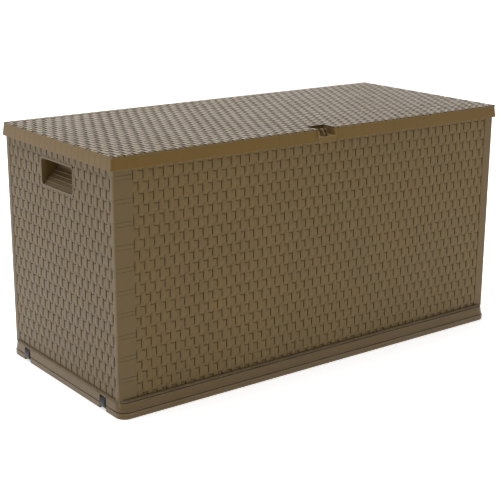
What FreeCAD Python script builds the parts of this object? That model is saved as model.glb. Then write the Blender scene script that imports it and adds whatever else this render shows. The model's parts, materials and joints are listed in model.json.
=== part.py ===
"""Deck storage box: a knock-down resin box with a hinged lid.

Units are millimetres.  The origin is on the ground, under the middle of the
box.  +X runs along the length, the front is towards -Y and +Z is up.
"""
import FreeCAD
import Part
import math
import os

Vector = FreeCAD.Vector

# Overall sizes
body_length = 1188.0
body_depth = 516.0
box_height = 608.0

# Base tray
plinth_out_x = 5.0
plinth_out_y = 16.0
rim_height = 5.0
plinth_wall = 4.0
plinth_corner = 25.0
deck_thickness = 3.0
rim_wall_y = 8.0
groove_depth = 2.5
groove_height = 2.5
lower_band_top = 14.0
upper_band_taper = 4.0
ledge_chamfer = 3.0
upstand_height = 13.0
upstand_wall = 3.0
base_rib_pitch = 99.0
base_rib_wall = 2.5
base_rib_depth = 7.0
runner_lift = 1.0
well_lift = 2.0
foot_bevel = 1.0
foot_bevel_height = 2.0
upper_band_inset = 0.5
upper_band_lean = 1.0

# Wall panels
relief_depth = 3.5
panel_skin = 3.0
panel_rib_depth = 6.0
panel_rib_wall = 2.5
panel_rib_pitch = 99.0
corner_strip = 48.0
narrow_strip = 26.5
panel_clearance = 0.5
panel_top_gap = 4.0
end_flange = 32.0

# Grip pockets in the end panels
grip_width = 150.0
grip_depth = 42.0
grip_drop = 47.5
grip_height = 63.0
grip_back_height = 26.0
grip_wall = 3.0
grip_frame = 5.0
grip_corner = 9.0

# Lid
lid_draft = 3.5
lid_skirt_wall = 3.5
lid_skirt_gap = 4.5
lid_skirt_height = 32.0
lid_plate = 3.0
lid_corner = 6.0
lid_rib_depth = 10.0
lid_rib_wall = 2.5
lid_rib_pitch = 99.0
lid_rib_margin_x = 64.0
lid_rib_margin_y = 34.0
lid_bracket_pad = 3.0
lid_back_border = 12.0

# Padlock recess in the lid, and the eye on the front panel
lock_recess_width = 51.0
lock_recess_depth = 45.0
lock_recess_height = 20.0
lock_recess_wall = 3.0
lock_lip_drop = 3.0
lock_lip_out = 1.5
lock_fin_wall = 4.0
lock_fin_gap = 6.0
lock_fin_length = 26.0
lock_bore_r = 4.5
lock_bore_over_floor = 8.0
lock_eye_slot_gap = 3.5
lock_fin_under_top = 3.0
lock_screw_offset = 14.0
lock_plate_half = 24.0
lock_plate_margin = 4.0
lock_stem_margin = 6.0
lock_head_reach = 14.0
notch_clearance = 2.0
scoop_r = 18.0
scoop_depth = 28.0
scoop_seam_drop = 1.0
scoop_seam_x = 13.0

# Hinges
hinge_inset = 164.0
hinge_width = 60.0
hinge_knuckle_r = 5.5
hinge_knuckle_width = 20.0
hinge_knuckle_gap = 0.4
hinge_pin_r = 2.5
hinge_running_gap = 0.05
hinge_skirt_gap = 2.5
hinge_plate = 2.5
hinge_body_plate = 46.0
hinge_lid_plate = 28.0
hinge_panel_gap = 1.5
hinge_screw_shares = (0.35, 0.8)
hinge_screw_inset = 10.0
hinge_pad_margin = 6.0
hinge_lid_pad_margin = 4.0
hinge_pin_head_r = 4.0
hinge_pin_head_height = 1.5
hinge_pin_end = 1.0

# Gas struts
strut_wall_ahead = 40.0
strut_wall_drop = 18.0
strut_lid_ahead = 200.0
strut_lid_drop = 18.0
strut_inset = 14.0
strut_tube_r = 7.5
strut_tube_wall = 1.3
strut_rod_r = 3.5
strut_rod_gap = 0.05
strut_eye_r = 7.0
strut_eye_width = 6.0
strut_stud_r = 3.0
strut_tube_clear = 34.0
strut_rod_tail = 36.0
strut_open_gap = 1.2
bracket_foot = 17.0
bracket_length = 44.0
bracket_foot_half = 20.0
bracket_web_half = 10.0
bracket_web_drop = 8.0
bracket_screw_reach = 14.0
wall_plate_half_width = 11.0
wall_plate_half_height = 25.0
wall_screw_reach = 17.0
strut_collar_wall = 2.0
strut_collar_gap = 0.4
strut_neck = 3.0
strut_bottom_wall = 5.0
strut_guide_length = 8.0
strut_piston_gap = 0.3
strut_piston_length = 6.0

# Wheels
wheel_r = 16.0
wheel_width = 24.0
wheel_out = 2.5
wheel_ground_gap = 1.0
wheel_inset_y = 84.0
wheel_side_gap = 3.0
wheel_top_gap = 1.0
wheel_slot_gap = 1.5
wheel_well_wall = 3.0
wheel_well_gap = 1.0
wheel_rim = 5.0
wheel_hub = 3.0
wheel_dish = 2.0
wheel_shoulder_r = 2.0
axle_r = 3.0
axle_running_gap = 0.05
axle_grip = 8.0

# Screws
screw_r = 2.0
screw_head_r = 4.0
screw_head_height = 2.0
screw_gap = 0.05
screw_length = 9.0
screw_short = 6.0
screw_boss_r = 5.0
screw_head_room = 2.0
boss_past_screw = 3.0
corner_screw_count = 4
corner_screw_low = 60.0
corner_screw_under_top = 90.0
base_screw_inset = 144.0
base_screw_side = 100.0

# Derived planes and places
deck_top = wheel_ground_gap + 2 * wheel_r + wheel_top_gap + deck_thickness
plinth_height = deck_top + rim_height
half_l = body_length / 2
half_d = body_depth / 2
field_x = half_l - relief_depth
field_y = half_d - relief_depth
rib_face_x = field_x - panel_skin - panel_rib_depth
rib_face_y = field_y - panel_skin - panel_rib_depth
lid_under = box_height - relief_depth - lid_plate
panel_top = lid_under - panel_top_gap
skirt_x = half_l + lid_skirt_gap + lid_skirt_wall
skirt_y = half_d + lid_skirt_gap + lid_skirt_wall
skirt_bottom = box_height - lid_skirt_height
base_x = half_l + plinth_out_x
base_y = half_d + plinth_out_y
hinge_y = half_d + hinge_panel_gap + hinge_knuckle_r
hinge_z = skirt_bottom - hinge_skirt_gap - hinge_knuckle_r
hinge_spread = half_l - hinge_inset
hinge_places = [("left", -hinge_spread), ("centre", 0.0), ("right", hinge_spread)]
end_sides = [("left", -1.0), ("right", 1.0)]
recess_floor = box_height - lock_recess_height
bore_z = recess_floor + lock_bore_over_floor
bore_y = -(skirt_y - lock_fin_length / 2 - lock_recess_wall)
eye_x = lock_fin_gap / 2
wheel_x = -(base_x + wheel_out - wheel_r)
wheel_z = wheel_r + wheel_ground_gap
wheel_offset_y = base_y - wheel_inset_y
wheel_slot_top = wheel_ground_gap + 2 * wheel_r + wheel_slot_gap
grip_top = panel_top - grip_drop
grip_bottom = grip_top - grip_height
strut_x = rib_face_x - strut_inset - strut_eye_width
strut_wall_y = hinge_y - strut_wall_ahead
strut_wall_z = hinge_z - strut_wall_drop
strut_lid_y = hinge_y - strut_lid_ahead
strut_lid_z = lid_under - strut_lid_drop + lid_plate
bracket_web_x = strut_x - strut_eye_width / 2 - strut_open_gap - hinge_plate


def box(x0, x1, y0, y1, z0, z1):
    """A block between two corners given in any order."""
    low = Vector(min(x0, x1), min(y0, y1), min(z0, z1))
    return Part.makeBox(abs(x1 - x0), abs(y1 - y0), abs(z1 - z0), low)


def rod(radius, start, end):
    """A round bar from one point to another."""
    axis = Vector(*end) - Vector(*start)
    return Part.makeCylinder(radius, axis.Length, Vector(*start), axis)


def joined(shapes):
    """One solid made of overlapping shapes."""
    if len(shapes) == 1:
        return shapes[0]
    return shapes[0].fuse(shapes[1:]).removeSplitter()


def without(shape, tools):
    """A shape with several others cut out of it."""
    return shape.cut(tools) if tools else shape


def portions_in(shape, rooms):
    """The solids of a shape that stand in each of several rooms."""
    found = []
    for room in rooms:
        found += shape.common(room).Solids
    return found


def rounded_wire(half_x, half_y, radius, z):
    """A closed rectangle with round corners in the plane at height z."""
    x, y, r = half_x, half_y, radius
    k = r * (1 - math.sqrt(0.5))
    corners = [((x - r, -y), (x - k, -y + k), (x, -y + r)), ((x, y - r), (x - k, y - k), (x - r, y)),
               ((-x + r, y), (-x + k, y - k), (-x, y - r)), ((-x, -y + r), (-x + k, -y + k), (-x + r, -y))]
    edges = []
    for index, (start, middle, end) in enumerate(corners):
        points = [Vector(px, py, z) for px, py in (start, middle, end)]
        edges.append(Part.Arc(*points).toShape())
        next_start = corners[(index + 1) % 4][0]
        edges.append(Part.makeLine(points[2], Vector(next_start[0], next_start[1], z)))
    return Part.Wire(edges)


def rounded_block(half_x, half_y, radius, z0, z1):
    """A straight block with round vertical corners."""
    return Part.Face(rounded_wire(half_x, half_y, radius, z0)).extrude(Vector(0, 0, z1 - z0))


def tapered_block(low, high, z0, z1):
    """A block whose rounded outline changes from low to high, each (half_x, half_y, radius)."""
    return Part.makeLoft([rounded_wire(*low, z0), rounded_wire(*high, z1)], True, True)


def rib_places(span, pitch):
    """Evenly spaced places inside a span, no further apart than the pitch."""
    count = math.ceil(span / pitch)
    return [-span / 2 + span * index / count for index in range(1, count)]


def plinth_outline(inset, radius=plinth_corner):
    """Half sizes of the plinth, moved inwards."""
    return (base_x - inset, base_y - inset, radius - inset / 2)


def wheel_places():
    """Name and Y of each wheel."""
    return [("front", -wheel_offset_y), ("rear", wheel_offset_y)]


def make_plinth():
    """The moulded skirt of the base: two bands, two grooves and a rim."""
    rim_y = half_d + rim_wall_y
    upper_x = base_x - upper_band_inset
    upper_out = (upper_x, base_y - groove_depth, plinth_corner)
    upper_in = (upper_x - upper_band_lean, base_y - groove_depth - upper_band_taper, plinth_corner)
    groove_z = plinth_height - ledge_chamfer - groove_height
    rim = (base_x, rim_y, plinth_corner)
    neck = (base_x - groove_depth, rim_y - groove_depth, plinth_corner)
    layers = [
        tapered_block(plinth_outline(foot_bevel), plinth_outline(0.0), 0, foot_bevel_height),
        rounded_block(*plinth_outline(0.0), foot_bevel_height, lower_band_top),
        rounded_block(*plinth_outline(groove_depth + 1), lower_band_top, lower_band_top + groove_height),
        tapered_block(upper_out, upper_in, lower_band_top + groove_height, groove_z),
        rounded_block(*neck, groove_z, groove_z + groove_height),
        tapered_block(rim, (base_x - ledge_chamfer, rim_y - ledge_chamfer, plinth_corner),
                      groove_z + groove_height, plinth_height),
    ]
    solid = joined(layers)
    inner_x = base_x - groove_depth - plinth_wall
    inner_y = rim_y - groove_depth - plinth_wall
    hollow = rounded_block(inner_x, inner_y, plinth_corner - plinth_wall, -1, deck_top - deck_thickness)
    seat = box(-half_l - panel_clearance, half_l + panel_clearance,
               -half_d - panel_clearance, half_d + panel_clearance, deck_top, plinth_height + 1)
    return without(solid, [hollow, seat]), inner_x, inner_y


def make_base_tray():
    """Plinth, floor deck, panel upstands, underside ribs, wheel wells and axle bosses."""
    plinth, inner_x, inner_y = make_plinth()
    rib_top = deck_top - deck_thickness
    rib_low = rib_top - base_rib_depth
    half_rib = base_rib_wall / 2
    adds = []
    runners = []
    for x in rib_places(2 * inner_x, base_rib_pitch):
        adds.append(box(x - half_rib, x + half_rib, -inner_y, inner_y, rib_low, rib_top))
    for y in rib_places(2 * inner_y, base_rib_pitch):
        adds.append(box(-inner_x, inner_x, y - half_rib, y + half_rib, rib_low, rib_top))
        runners.append(box(-inner_x, inner_x, y - half_rib, y + half_rib, runner_lift, rib_low))
    top = deck_top + upstand_height
    stand_x = rib_face_x - panel_clearance
    stand_y = rib_face_y - panel_clearance
    long_x = stand_x - end_flange
    long_y = stand_y - end_flange
    for side in (-1, 1):
        adds.append(box(-long_x, long_x, side * stand_y, side * (stand_y - upstand_wall), rib_top, top))
        adds.append(box(side * stand_x, side * (stand_x - upstand_wall), -long_y, long_y, rib_top, top))
    cuts = []
    well_half = wheel_width / 2 + wheel_side_gap
    well_inner = wheel_x + wheel_r + wheel_side_gap
    well_top = wheel_slot_top - wheel_slot_gap + wheel_well_gap
    slot_x = -base_x + groove_depth * 2
    for _, y in wheel_places():
        wall_half = well_half + max(wheel_well_wall, axle_grip)
        adds.append(box(-base_x + plinth_wall, well_inner + wheel_well_wall,
                        y - wall_half, y + wall_half, well_lift, rib_top))
        cuts.append(box(-base_x - 1, well_inner, y - well_half, y + well_half, -1, well_top))
        cuts.append(box(-base_x - 1, slot_x, y - well_half, y + well_half, -1, wheel_slot_top))
        cuts.append(rod(axle_r, (wheel_x, y - well_half - axle_grip, wheel_z),
                        (wheel_x, y + well_half + axle_grip, wheel_z)))
    for x, y in base_screw_places():
        cuts.append(rod(screw_r + screw_gap, (x, y, rib_top - 1), (x, y, deck_top + 1)))
        cuts.append(rod(screw_head_r + screw_head_room, (x, y, -1), (x, y, rib_top)))
    tray = without(joined([plinth] + adds), cuts)
    rails = [without(runner, cuts).cut(tray) for runner in runners]
    return Part.makeCompound(tray_portions(tray, inner_x, inner_y, rib_low) + rails)


def tray_portions(tray, inner_x, inner_y, rib_low):
    """The tray as simpler portions that meet face to face: plinth walls, deck and what hangs below."""
    out_x, out_y = base_x + 1, base_y + 1
    top = deck_top + upstand_height + 1
    rooms = [box(-out_x, out_x, -out_y, -inner_y, -1, top), box(-out_x, out_x, inner_y, out_y, -1, top),
             box(-out_x, -inner_x, -inner_y, inner_y, -1, top),
             box(inner_x, out_x, -inner_y, inner_y, -1, top),
             box(-inner_x, inner_x, -inner_y, inner_y, rib_low, top),
             box(-inner_x, inner_x, -inner_y, inner_y, -1, rib_low)]
    return portions_in(tray, rooms)


def base_screw_places():
    """X and Y of each screw through the deck into a panel's lower edge."""
    boss_y = rib_face_y + screw_boss_r
    boss_x = rib_face_x + screw_boss_r
    places = []
    for side in (-1, 1):
        for step in (-1.0, -0.5, 0.0, 0.5, 1.0):
            places.append((step * (half_l - base_screw_inset), side * boss_y))
        for step in (-1, 0, 1):
            places.append((side * boss_x, step * base_screw_side))
    return places


def upright_boss(x, y):
    """The post inside a panel's lower edge that a base screw bites into."""
    return rod(screw_boss_r, (x, y, deck_top), (x, y, deck_top + screw_length + boss_past_screw))


def screw(x, y, z, direction, length=screw_length):
    """A pan-head screw whose head seats at the point and whose shank runs along the direction."""
    way = Vector(*direction)
    seat = Vector(x, y, z)
    head = Part.makeCylinder(screw_head_r, screw_head_height, seat - way * screw_head_height, way)
    shank = Part.makeCylinder(screw_r, length, seat, way)
    point = Part.makeCone(screw_r, screw_r / 4, screw_r, seat + way * length, way)
    return joined([head, shank, point])


def screw_hole(x, y, z, direction, length=screw_length):
    """The hole that a screw's shank and point run in, from 1 mm before the seat to just past the point."""
    way = Vector(*direction)
    start = Vector(x, y, z) - way
    return Part.makeCylinder(screw_r + screw_gap, length + screw_r + 1 + screw_gap, start, way)


def corner_screw_heights():
    """Heights of the screws that hold an end panel to its neighbours."""
    low = deck_top + corner_screw_low
    high = panel_top - corner_screw_under_top
    last = corner_screw_count - 1
    return [low + (high - low) * index / last for index in range(corner_screw_count)]


def corner_screws_at(side_x, side_y):
    """Seat points of the four screws in one corner."""
    x = side_x * (rib_face_x - end_flange / 2)
    y = side_y * (rib_face_y - panel_clearance - panel_skin)
    return [(x, y, z) for z in corner_screw_heights()]


def make_long_panel(side):
    """The front panel (side -1) or the back panel (side +1), with its corner strips and inner ribs."""
    def slab(x0, x1, depth0, depth1, z0, z1):
        return box(x0, x1, side * depth0, side * depth1, z0, z1)
    inner_skin = field_y - panel_skin
    adds = [slab(-half_l, half_l, inner_skin, field_y, deck_top, panel_top)]
    for end in (-1, 1):
        strip = corner_strip if end * side > 0 else narrow_strip
        adds.append(slab(end * (half_l - strip), end * half_l, inner_skin, half_d, deck_top, panel_top))
        adds.append(slab(end * (half_l - panel_skin), end * half_l, rib_face_y, half_d, deck_top, panel_top))
    for z in (deck_top, panel_top - panel_skin):
        adds.append(slab(-half_l, half_l, rib_face_y, inner_skin, z, z + panel_skin))
    span = 2 * (half_l - end_flange)
    for x in rib_places(span, panel_rib_pitch) + [-span / 2, span / 2]:
        left, right = x - panel_rib_wall / 2, x + panel_rib_wall / 2
        adds.append(slab(left, right, rib_face_y, inner_skin, deck_top, panel_top))
    middle = (deck_top + panel_top) / 2
    for z in rib_places(panel_top - deck_top, panel_rib_pitch):
        adds.append(slab(-half_l, half_l, rib_face_y, inner_skin, middle + z, middle + z + panel_rib_wall))
    cuts = []
    for x, y in base_screw_places():
        if abs(y) > rib_face_y and y * side > 0:
            adds.append(upright_boss(x, y))
            cuts.append(screw_hole(x, y, deck_top - 1, (0, 0, 1)))
    for end in (-1, 1):
        for x, y, z in corner_screws_at(end, side):
            adds.append(rod(screw_boss_r, (x, side * rib_face_y, z), (x, side * field_y, z)))
            cuts.append(screw_hole(x, y, z, (0, side, 0)))
    return adds, cuts


def make_front_panel():
    """The front panel, notched at the middle of its top edge for the padlock recess and a finger scoop."""
    adds, cuts = make_long_panel(-1.0)
    half = lock_recess_width / 2 + lock_recess_wall + notch_clearance
    notch_z = recess_floor - lock_recess_wall - notch_clearance
    cuts.append(box(-half, half, -half_d - 1, -rib_face_y + 1, notch_z, panel_top + 1))
    scoop_z = panel_top - scoop_depth + scoop_r
    cuts.append(rod(scoop_r, (0, -half_d - 1, scoop_z), (0, -rib_face_y + 1, scoop_z)))
    for x, z in lock_screw_places():
        adds.append(rod(screw_boss_r, (x, -rib_face_y, z), (x, -field_y, z)))
        cuts.append(screw_hole(x, -rib_face_y + lock_fin_wall / 2, z, (0, -1, 0), screw_short))
    return Part.makeCompound(front_portions(without(joined(adds), cuts), half))


def front_portions(panel, notch_half):
    """The front panel in simpler portions about its notch and scoop, which meet face to face."""
    seam_z = panel_top - scoop_depth - scoop_seam_drop
    far_x, deep = half_l + 1, -rib_face_y + end_flange + 1
    inner, outer = scoop_seam_x, notch_half
    rooms = []
    for side in (-1, 1):
        rooms.append(box(side * outer, side * far_x, -half_d - 1, deep, 0, box_height))
        rooms.append(box(side * inner, side * outer, -half_d - 1, deep, seam_z, box_height))
    rooms.append(box(-inner, inner, -half_d - 1, deep, seam_z, box_height))
    rooms.append(box(-outer, outer, -half_d - 1, deep, 0, seam_z))
    return portions_in(panel, rooms)


def hinge_screw_heights():
    """Heights of the screws in a hinge's lower plate."""
    top = hinge_z - hinge_knuckle_r
    return [top - hinge_body_plate * share for share in hinge_screw_shares]


def hinge_screw_offsets():
    """Sideways places of the screws in a hinge plate."""
    reach = hinge_width / 2 - hinge_screw_inset
    return [-reach, reach]


def make_back_panel():
    """The back panel, with a thick pad behind each hinge."""
    adds, cuts = make_long_panel(1.0)
    pad_half = hinge_width / 2 + hinge_pad_margin
    pad_low = hinge_z - hinge_knuckle_r - hinge_body_plate - hinge_pad_margin
    for _, x in hinge_places:
        adds.append(box(x - pad_half, x + pad_half, field_y - panel_skin, half_d, pad_low, panel_top))
        for offset in hinge_screw_offsets():
            for z in hinge_screw_heights():
                adds.append(rod(screw_boss_r, (x + offset, rib_face_y, z), (x + offset, half_d, z)))
                cuts.append(screw_hole(x + offset, half_d, z, (0, -1, 0)))
    return without(joined(adds), cuts)


def grip_profile(side, depth, top, bottom, back, front):
    """The pocket's outline in the XZ plane, as a face at Y = 0."""
    x_out = side * front
    x_in = side * (field_x - depth)
    points = [(x_out, top), (x_in, top), (x_in, back), (side * field_x, bottom), (x_out, bottom)]
    vectors = [Vector(x, 0, z) for x, z in points]
    return Part.Face(Part.makePolygon(vectors + vectors[:1]))


def rounded_window(half_y, z0, z1, radius):
    """A long bar along X whose section is a rounded rectangle about the grip."""
    face = Part.Face(rounded_wire((z1 - z0) / 2, half_y, radius, 0))
    bar = face.extrude(Vector(0, 0, 2 * half_l + 40))
    bar.rotate(Vector(0, 0, 0), Vector(0, 1, 0), 90)
    bar.translate(Vector(-half_l - 20, 0, (z0 + z1) / 2))
    return bar


def make_grip(side):
    """The solid around a grip pocket, and the pocket to cut out of it."""
    wall = grip_wall
    half = grip_width / 2
    back = grip_top - grip_back_height
    outer = grip_profile(side, grip_depth + wall, grip_top + wall, grip_bottom - wall, back - wall, field_x)
    shell = outer.extrude(Vector(0, 2 * (half + wall), 0))
    shell.translate(Vector(0, -half - wall, 0))
    inner = grip_profile(side, grip_depth, grip_top, grip_bottom, back, half_l + 5)
    hollow = inner.extrude(Vector(0, 2 * half, 0))
    hollow.translate(Vector(0, -half, 0))
    hollow = hollow.common(rounded_window(half, grip_bottom, grip_top, grip_corner))
    window = rounded_window(half + grip_frame, grip_bottom - grip_frame, grip_top + grip_frame,
                            grip_corner + grip_frame)
    frame = window.common(box(side * (field_x - panel_skin), side * half_l, -half_d, half_d, 0, box_height))
    return joined([shell, frame]), hollow


def make_end_panel(side):
    """An end panel between the front and back panels, with its flanges, ribs and grip pocket."""
    inner_skin = field_x - panel_skin
    edge_y = rib_face_y - panel_clearance

    def slab(x0, x1, y0, y1, z0, z1):
        return box(side * x0, side * x1, y0, y1, z0, z1)
    adds = [slab(inner_skin, field_x, -edge_y, edge_y, deck_top, panel_top)]
    for y in (-edge_y, edge_y - panel_skin):
        adds.append(slab(rib_face_x - end_flange, field_x, y, y + panel_skin, deck_top, panel_top))
    for z in (deck_top, panel_top - panel_skin):
        adds.append(slab(rib_face_x, inner_skin, -edge_y, edge_y, z, z + panel_skin))
    for y in rib_places(2 * edge_y, panel_rib_pitch):
        adds.append(slab(rib_face_x, inner_skin, y - panel_rib_wall / 2, y + panel_rib_wall / 2,
                         deck_top, panel_top))
    middle = (deck_top + panel_top) / 2
    for z in rib_places(panel_top - deck_top, panel_rib_pitch):
        adds.append(slab(rib_face_x, inner_skin, -edge_y, edge_y, middle + z, middle + z + panel_rib_wall))
    cuts = []
    for x, y in base_screw_places():
        if abs(x) > rib_face_x and x * side > 0:
            adds.append(upright_boss(x, y))
            cuts.append(screw_hole(x, y, deck_top - 1, (0, 0, 1)))
    for end in (-1, 1):
        for x, y, z in corner_screws_at(side, end):
            cuts.append(screw_hole(x, y, z, (0, end, 0)))
    for y, z in wall_bracket_screws():
        adds.append(rod(screw_boss_r, (side * rib_face_x, y, z), (side * field_x, y, z)))
        cuts.append(screw_hole(side * (rib_face_x - hinge_plate), y, z, (side, 0, 0), screw_short))
    shell, hollow = make_grip(side)
    return without(joined(adds + [shell]), cuts + [hollow])


def lid_outline(height_share, inset=0.0):
    """Half sizes of the lid at a share of the skirt's height, moved inwards."""
    draft = lid_draft * height_share + inset
    return (skirt_x - draft, skirt_y - draft, lid_corner - inset / 2)


def strut_lid_pads():
    """Middle of each thick pad on the lid's underside that carries a strut bracket."""
    return [(side * (bracket_web_x - bracket_foot / 2), strut_lid_y) for _, side in end_sides]


def make_lid_shell():
    """The lid: plate, skirt, underside ribs, hinge pads and the padlock recess."""
    outer = tapered_block(lid_outline(0.0), lid_outline(1.0), skirt_bottom, box_height)
    share = (lid_under - skirt_bottom) / lid_skirt_height
    hollow = tapered_block(lid_outline(0.0, lid_skirt_wall), lid_outline(share, lid_skirt_wall),
                           skirt_bottom, lid_under)
    lip = tapered_block(lid_outline(0.0, lid_skirt_wall), lid_outline(0.0, lid_skirt_wall),
                        skirt_bottom - 1, skirt_bottom)
    field_z = box_height - relief_depth
    field = box(-skirt_x, skirt_x, -skirt_y, skirt_y - lid_back_border, field_z, box_height + 1)
    shell = without(outer, [hollow, lip, field])
    rib_low = lid_under - lid_rib_depth
    rib_x = half_l - lid_rib_margin_x
    rib_y = half_d - lid_rib_margin_y
    half_rib = lid_rib_wall / 2
    ribs = []
    for x in rib_places(2 * rib_x, lid_rib_pitch) + [-rib_x, rib_x]:
        ribs.append(box(x - half_rib, x + half_rib, -rib_y, rib_y, rib_low, lid_under))
    for y in rib_places(2 * rib_y, lid_rib_pitch) + [-rib_y, rib_y]:
        ribs.append(box(-rib_x, rib_x, y - half_rib, y + half_rib, rib_low, lid_under))
    rib_cuts = []
    wall = lock_recess_wall
    half = lock_recess_width / 2
    deep = skirt_y - lock_recess_depth
    rib_cuts.append(box(-half - wall, half + wall, -skirt_y, -deep + wall, rib_low - 1, lid_under))
    adds = [shell, without(joined(ribs), rib_cuts)]
    lid_pad_half = hinge_width / 2 + hinge_lid_pad_margin
    for _, x in hinge_places:
        adds.append(box(x - lid_pad_half, x + lid_pad_half, skirt_y - lid_draft - lid_skirt_wall,
                        skirt_y, skirt_bottom, lid_under))
    for x, y in strut_lid_pads():
        adds.append(box(x - bracket_foot / 2, x + bracket_foot / 2,
                        y - bracket_length / 2, y + bracket_length / 2,
                        lid_under - lid_bracket_pad, lid_under))
    lip_out = skirt_y + lock_lip_out
    adds.append(box(-half - wall, half + wall, -lip_out, -deep + wall, recess_floor - wall, lid_under))
    skirt_inner = -skirt_y + lid_skirt_wall
    adds.append(box(-half, half, -lip_out, skirt_inner, skirt_bottom - lock_lip_drop, recess_floor))
    recess = box(-half, half, -skirt_y - 5, -deep, recess_floor, box_height + 1)
    body = without(joined(adds), [recess])
    fin = lock_fin(-eye_x - lock_fin_wall)
    slot_reach = lock_fin_length / 2 + lock_eye_slot_gap
    slot = box(eye_x - lock_eye_slot_gap, eye_x + lock_fin_wall + lock_eye_slot_gap,
               bore_y - slot_reach, bore_y + slot_reach, recess_floor - wall - 1, recess_floor + 1)
    slot = slot.common(box(eye_x - lock_eye_slot_gap, half, skirt_inner, skirt_y, 0, box_height))
    cuts = [slot]
    for x, y, z in lid_hinge_screws():
        cuts.append(screw_hole(x, y, z, (0, -1, 0), screw_short))
    for x, y, z in lid_bracket_screws():
        cuts.append(screw_hole(x, y, z, (0, 0, 1), screw_short))
    lid = without(joined([body, fin]), cuts)
    lip_room = box(-half, half, -lip_out - 1, skirt_inner, 0, recess_floor + 1)
    return Part.makeCompound(portions_in(lid, [lip_room]) + lid.cut(lip_room).Solids)


def lock_fin(x):
    """A padlock fin across the recess: a plate with a round top and the shackle's hole."""
    half = lock_fin_length / 2
    r = min(half, box_height - lock_fin_under_top - bore_z)
    plate = box(x, x + lock_fin_wall, bore_y - half, bore_y + half, recess_floor - lock_recess_wall, bore_z)
    cap = rod(r, (x, bore_y, bore_z), (x + lock_fin_wall, bore_y, bore_z))
    hole = rod(lock_bore_r, (x - 1, bore_y, bore_z), (x + lock_fin_wall + 1, bore_y, bore_z))
    return without(joined([plate, cap]), [hole])


def lock_screw_places():
    """X and Z of the two screws that hold the padlock eye."""
    z = panel_top - scoop_depth - lock_screw_offset
    return [(-lock_screw_offset, z), (lock_screw_offset, z)]


def make_lock_eye():
    """The padlock eye: a fin that stands up through the lid, on a plate behind the front panel."""
    plate_wall = lock_fin_wall / 2
    scoop_low = panel_top - scoop_depth
    low = scoop_low - lock_plate_half
    y_face = -rib_face_y
    plate_top = scoop_low - lock_plate_margin
    plate = box(-lock_plate_half, lock_plate_half, y_face, y_face + plate_wall, low, plate_top)
    stem_back, stem_top = bore_y + lock_fin_length / 2, bore_z - lock_stem_margin
    stem = box(eye_x, eye_x + lock_fin_wall, y_face, stem_back, low, stem_top)
    half = lock_fin_length / 2
    top_r = min(half, box_height - lock_fin_under_top - bore_z)
    head = box(eye_x, eye_x + lock_fin_wall, bore_y - half + lock_plate_margin, bore_y + half,
               recess_floor - lock_head_reach, bore_z)
    cap = rod(top_r, (eye_x, bore_y, bore_z), (eye_x + lock_fin_wall, bore_y, bore_z))
    hole = rod(lock_bore_r, (eye_x - 1, bore_y, bore_z), (eye_x + lock_fin_wall + 1, bore_y, bore_z))
    cuts = [hole]
    for x, z in lock_screw_places():
        cuts.append(screw_hole(x, y_face + plate_wall, z, (0, -1, 0), screw_short))
    return without(joined([plate, stem, head, cap]), cuts)


def make_lock_screws():
    """The two screws of the padlock eye."""
    seat = -rib_face_y + lock_fin_wall / 2
    return Part.makeCompound([screw(x, seat, z, (0, -1, 0), screw_short) for x, z in lock_screw_places()])


def knuckle(x0, x1):
    """One hinge knuckle with its pin bore."""
    barrel = rod(hinge_knuckle_r, (x0, hinge_y, hinge_z), (x1, hinge_y, hinge_z))
    bore = rod(hinge_pin_r + hinge_running_gap, (x0 - 1, hinge_y, hinge_z), (x1 + 1, hinge_y, hinge_z))
    return barrel, bore


def make_hinge_body_leaf(x):
    """The hinge's lower leaf, screwed to the back panel, with the two outer knuckles."""
    half = hinge_width / 2
    inner = hinge_knuckle_width / 2
    top = hinge_z - hinge_knuckle_r
    adds = [box(x - half, x + half, half_d, half_d + hinge_plate, top - hinge_body_plate, top)]
    cuts = []
    for x0, x1 in ((x - half, x - inner), (x + inner, x + half)):
        barrel, bore = knuckle(x0, x1)
        adds += [barrel, box(x0, x1, half_d, hinge_y, top, hinge_z)]
        cuts.append(bore)
    leaf = joined(adds)
    for offset in hinge_screw_offsets():
        for z in hinge_screw_heights():
            cuts.append(screw_hole(x + offset, half_d + hinge_plate, z, (0, -1, 0)))
    return without(leaf, cuts)


def make_hinge_lid_leaf(x):
    """The hinge's upper leaf, screwed to the lid's skirt, with the middle knuckle."""
    half = hinge_width / 2
    inner = hinge_knuckle_width / 2 - hinge_knuckle_gap
    low = skirt_bottom - 1
    barrel, bore = knuckle(x - inner, x + inner)
    adds = [box(x - half, x + half, skirt_y, skirt_y + hinge_plate, low, low + hinge_lid_plate), barrel]
    adds.append(box(x - inner, x + inner, skirt_y, skirt_y + hinge_plate, hinge_z, low + 1))
    cuts = [bore]
    for sx, sy, sz in lid_hinge_screws():
        if abs(sx - x) < half:
            cuts.append(screw_hole(sx, sy, sz, (0, -1, 0), screw_short))
    return without(joined(adds), cuts)


def lid_hinge_screws():
    """Seat points of the screws in the hinges' upper leaves."""
    z = skirt_bottom + hinge_lid_plate / 2
    y = skirt_y + hinge_plate
    return [(x + offset, y, z) for _, x in hinge_places for offset in hinge_screw_offsets()]


def make_hinge_pin(x):
    """A hinge pin with a small head at one end."""
    half = hinge_width / 2
    start = x - half - hinge_pin_end
    shaft = rod(hinge_pin_r, (start, hinge_y, hinge_z), (x + half, hinge_y, hinge_z))
    head_end = (x - half - hinge_knuckle_gap, hinge_y, hinge_z)
    head = rod(hinge_pin_head_r, (start - hinge_pin_head_height, hinge_y, hinge_z), head_end)
    return joined([shaft, head])


def make_hinge_body_screws():
    """All screws of the hinges' lower leaves."""
    screws = []
    for _, x in hinge_places:
        for offset in hinge_screw_offsets():
            for z in hinge_screw_heights():
                screws.append(screw(x + offset, half_d + hinge_plate, z, (0, -1, 0)))
    return Part.makeCompound(screws)


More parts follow.
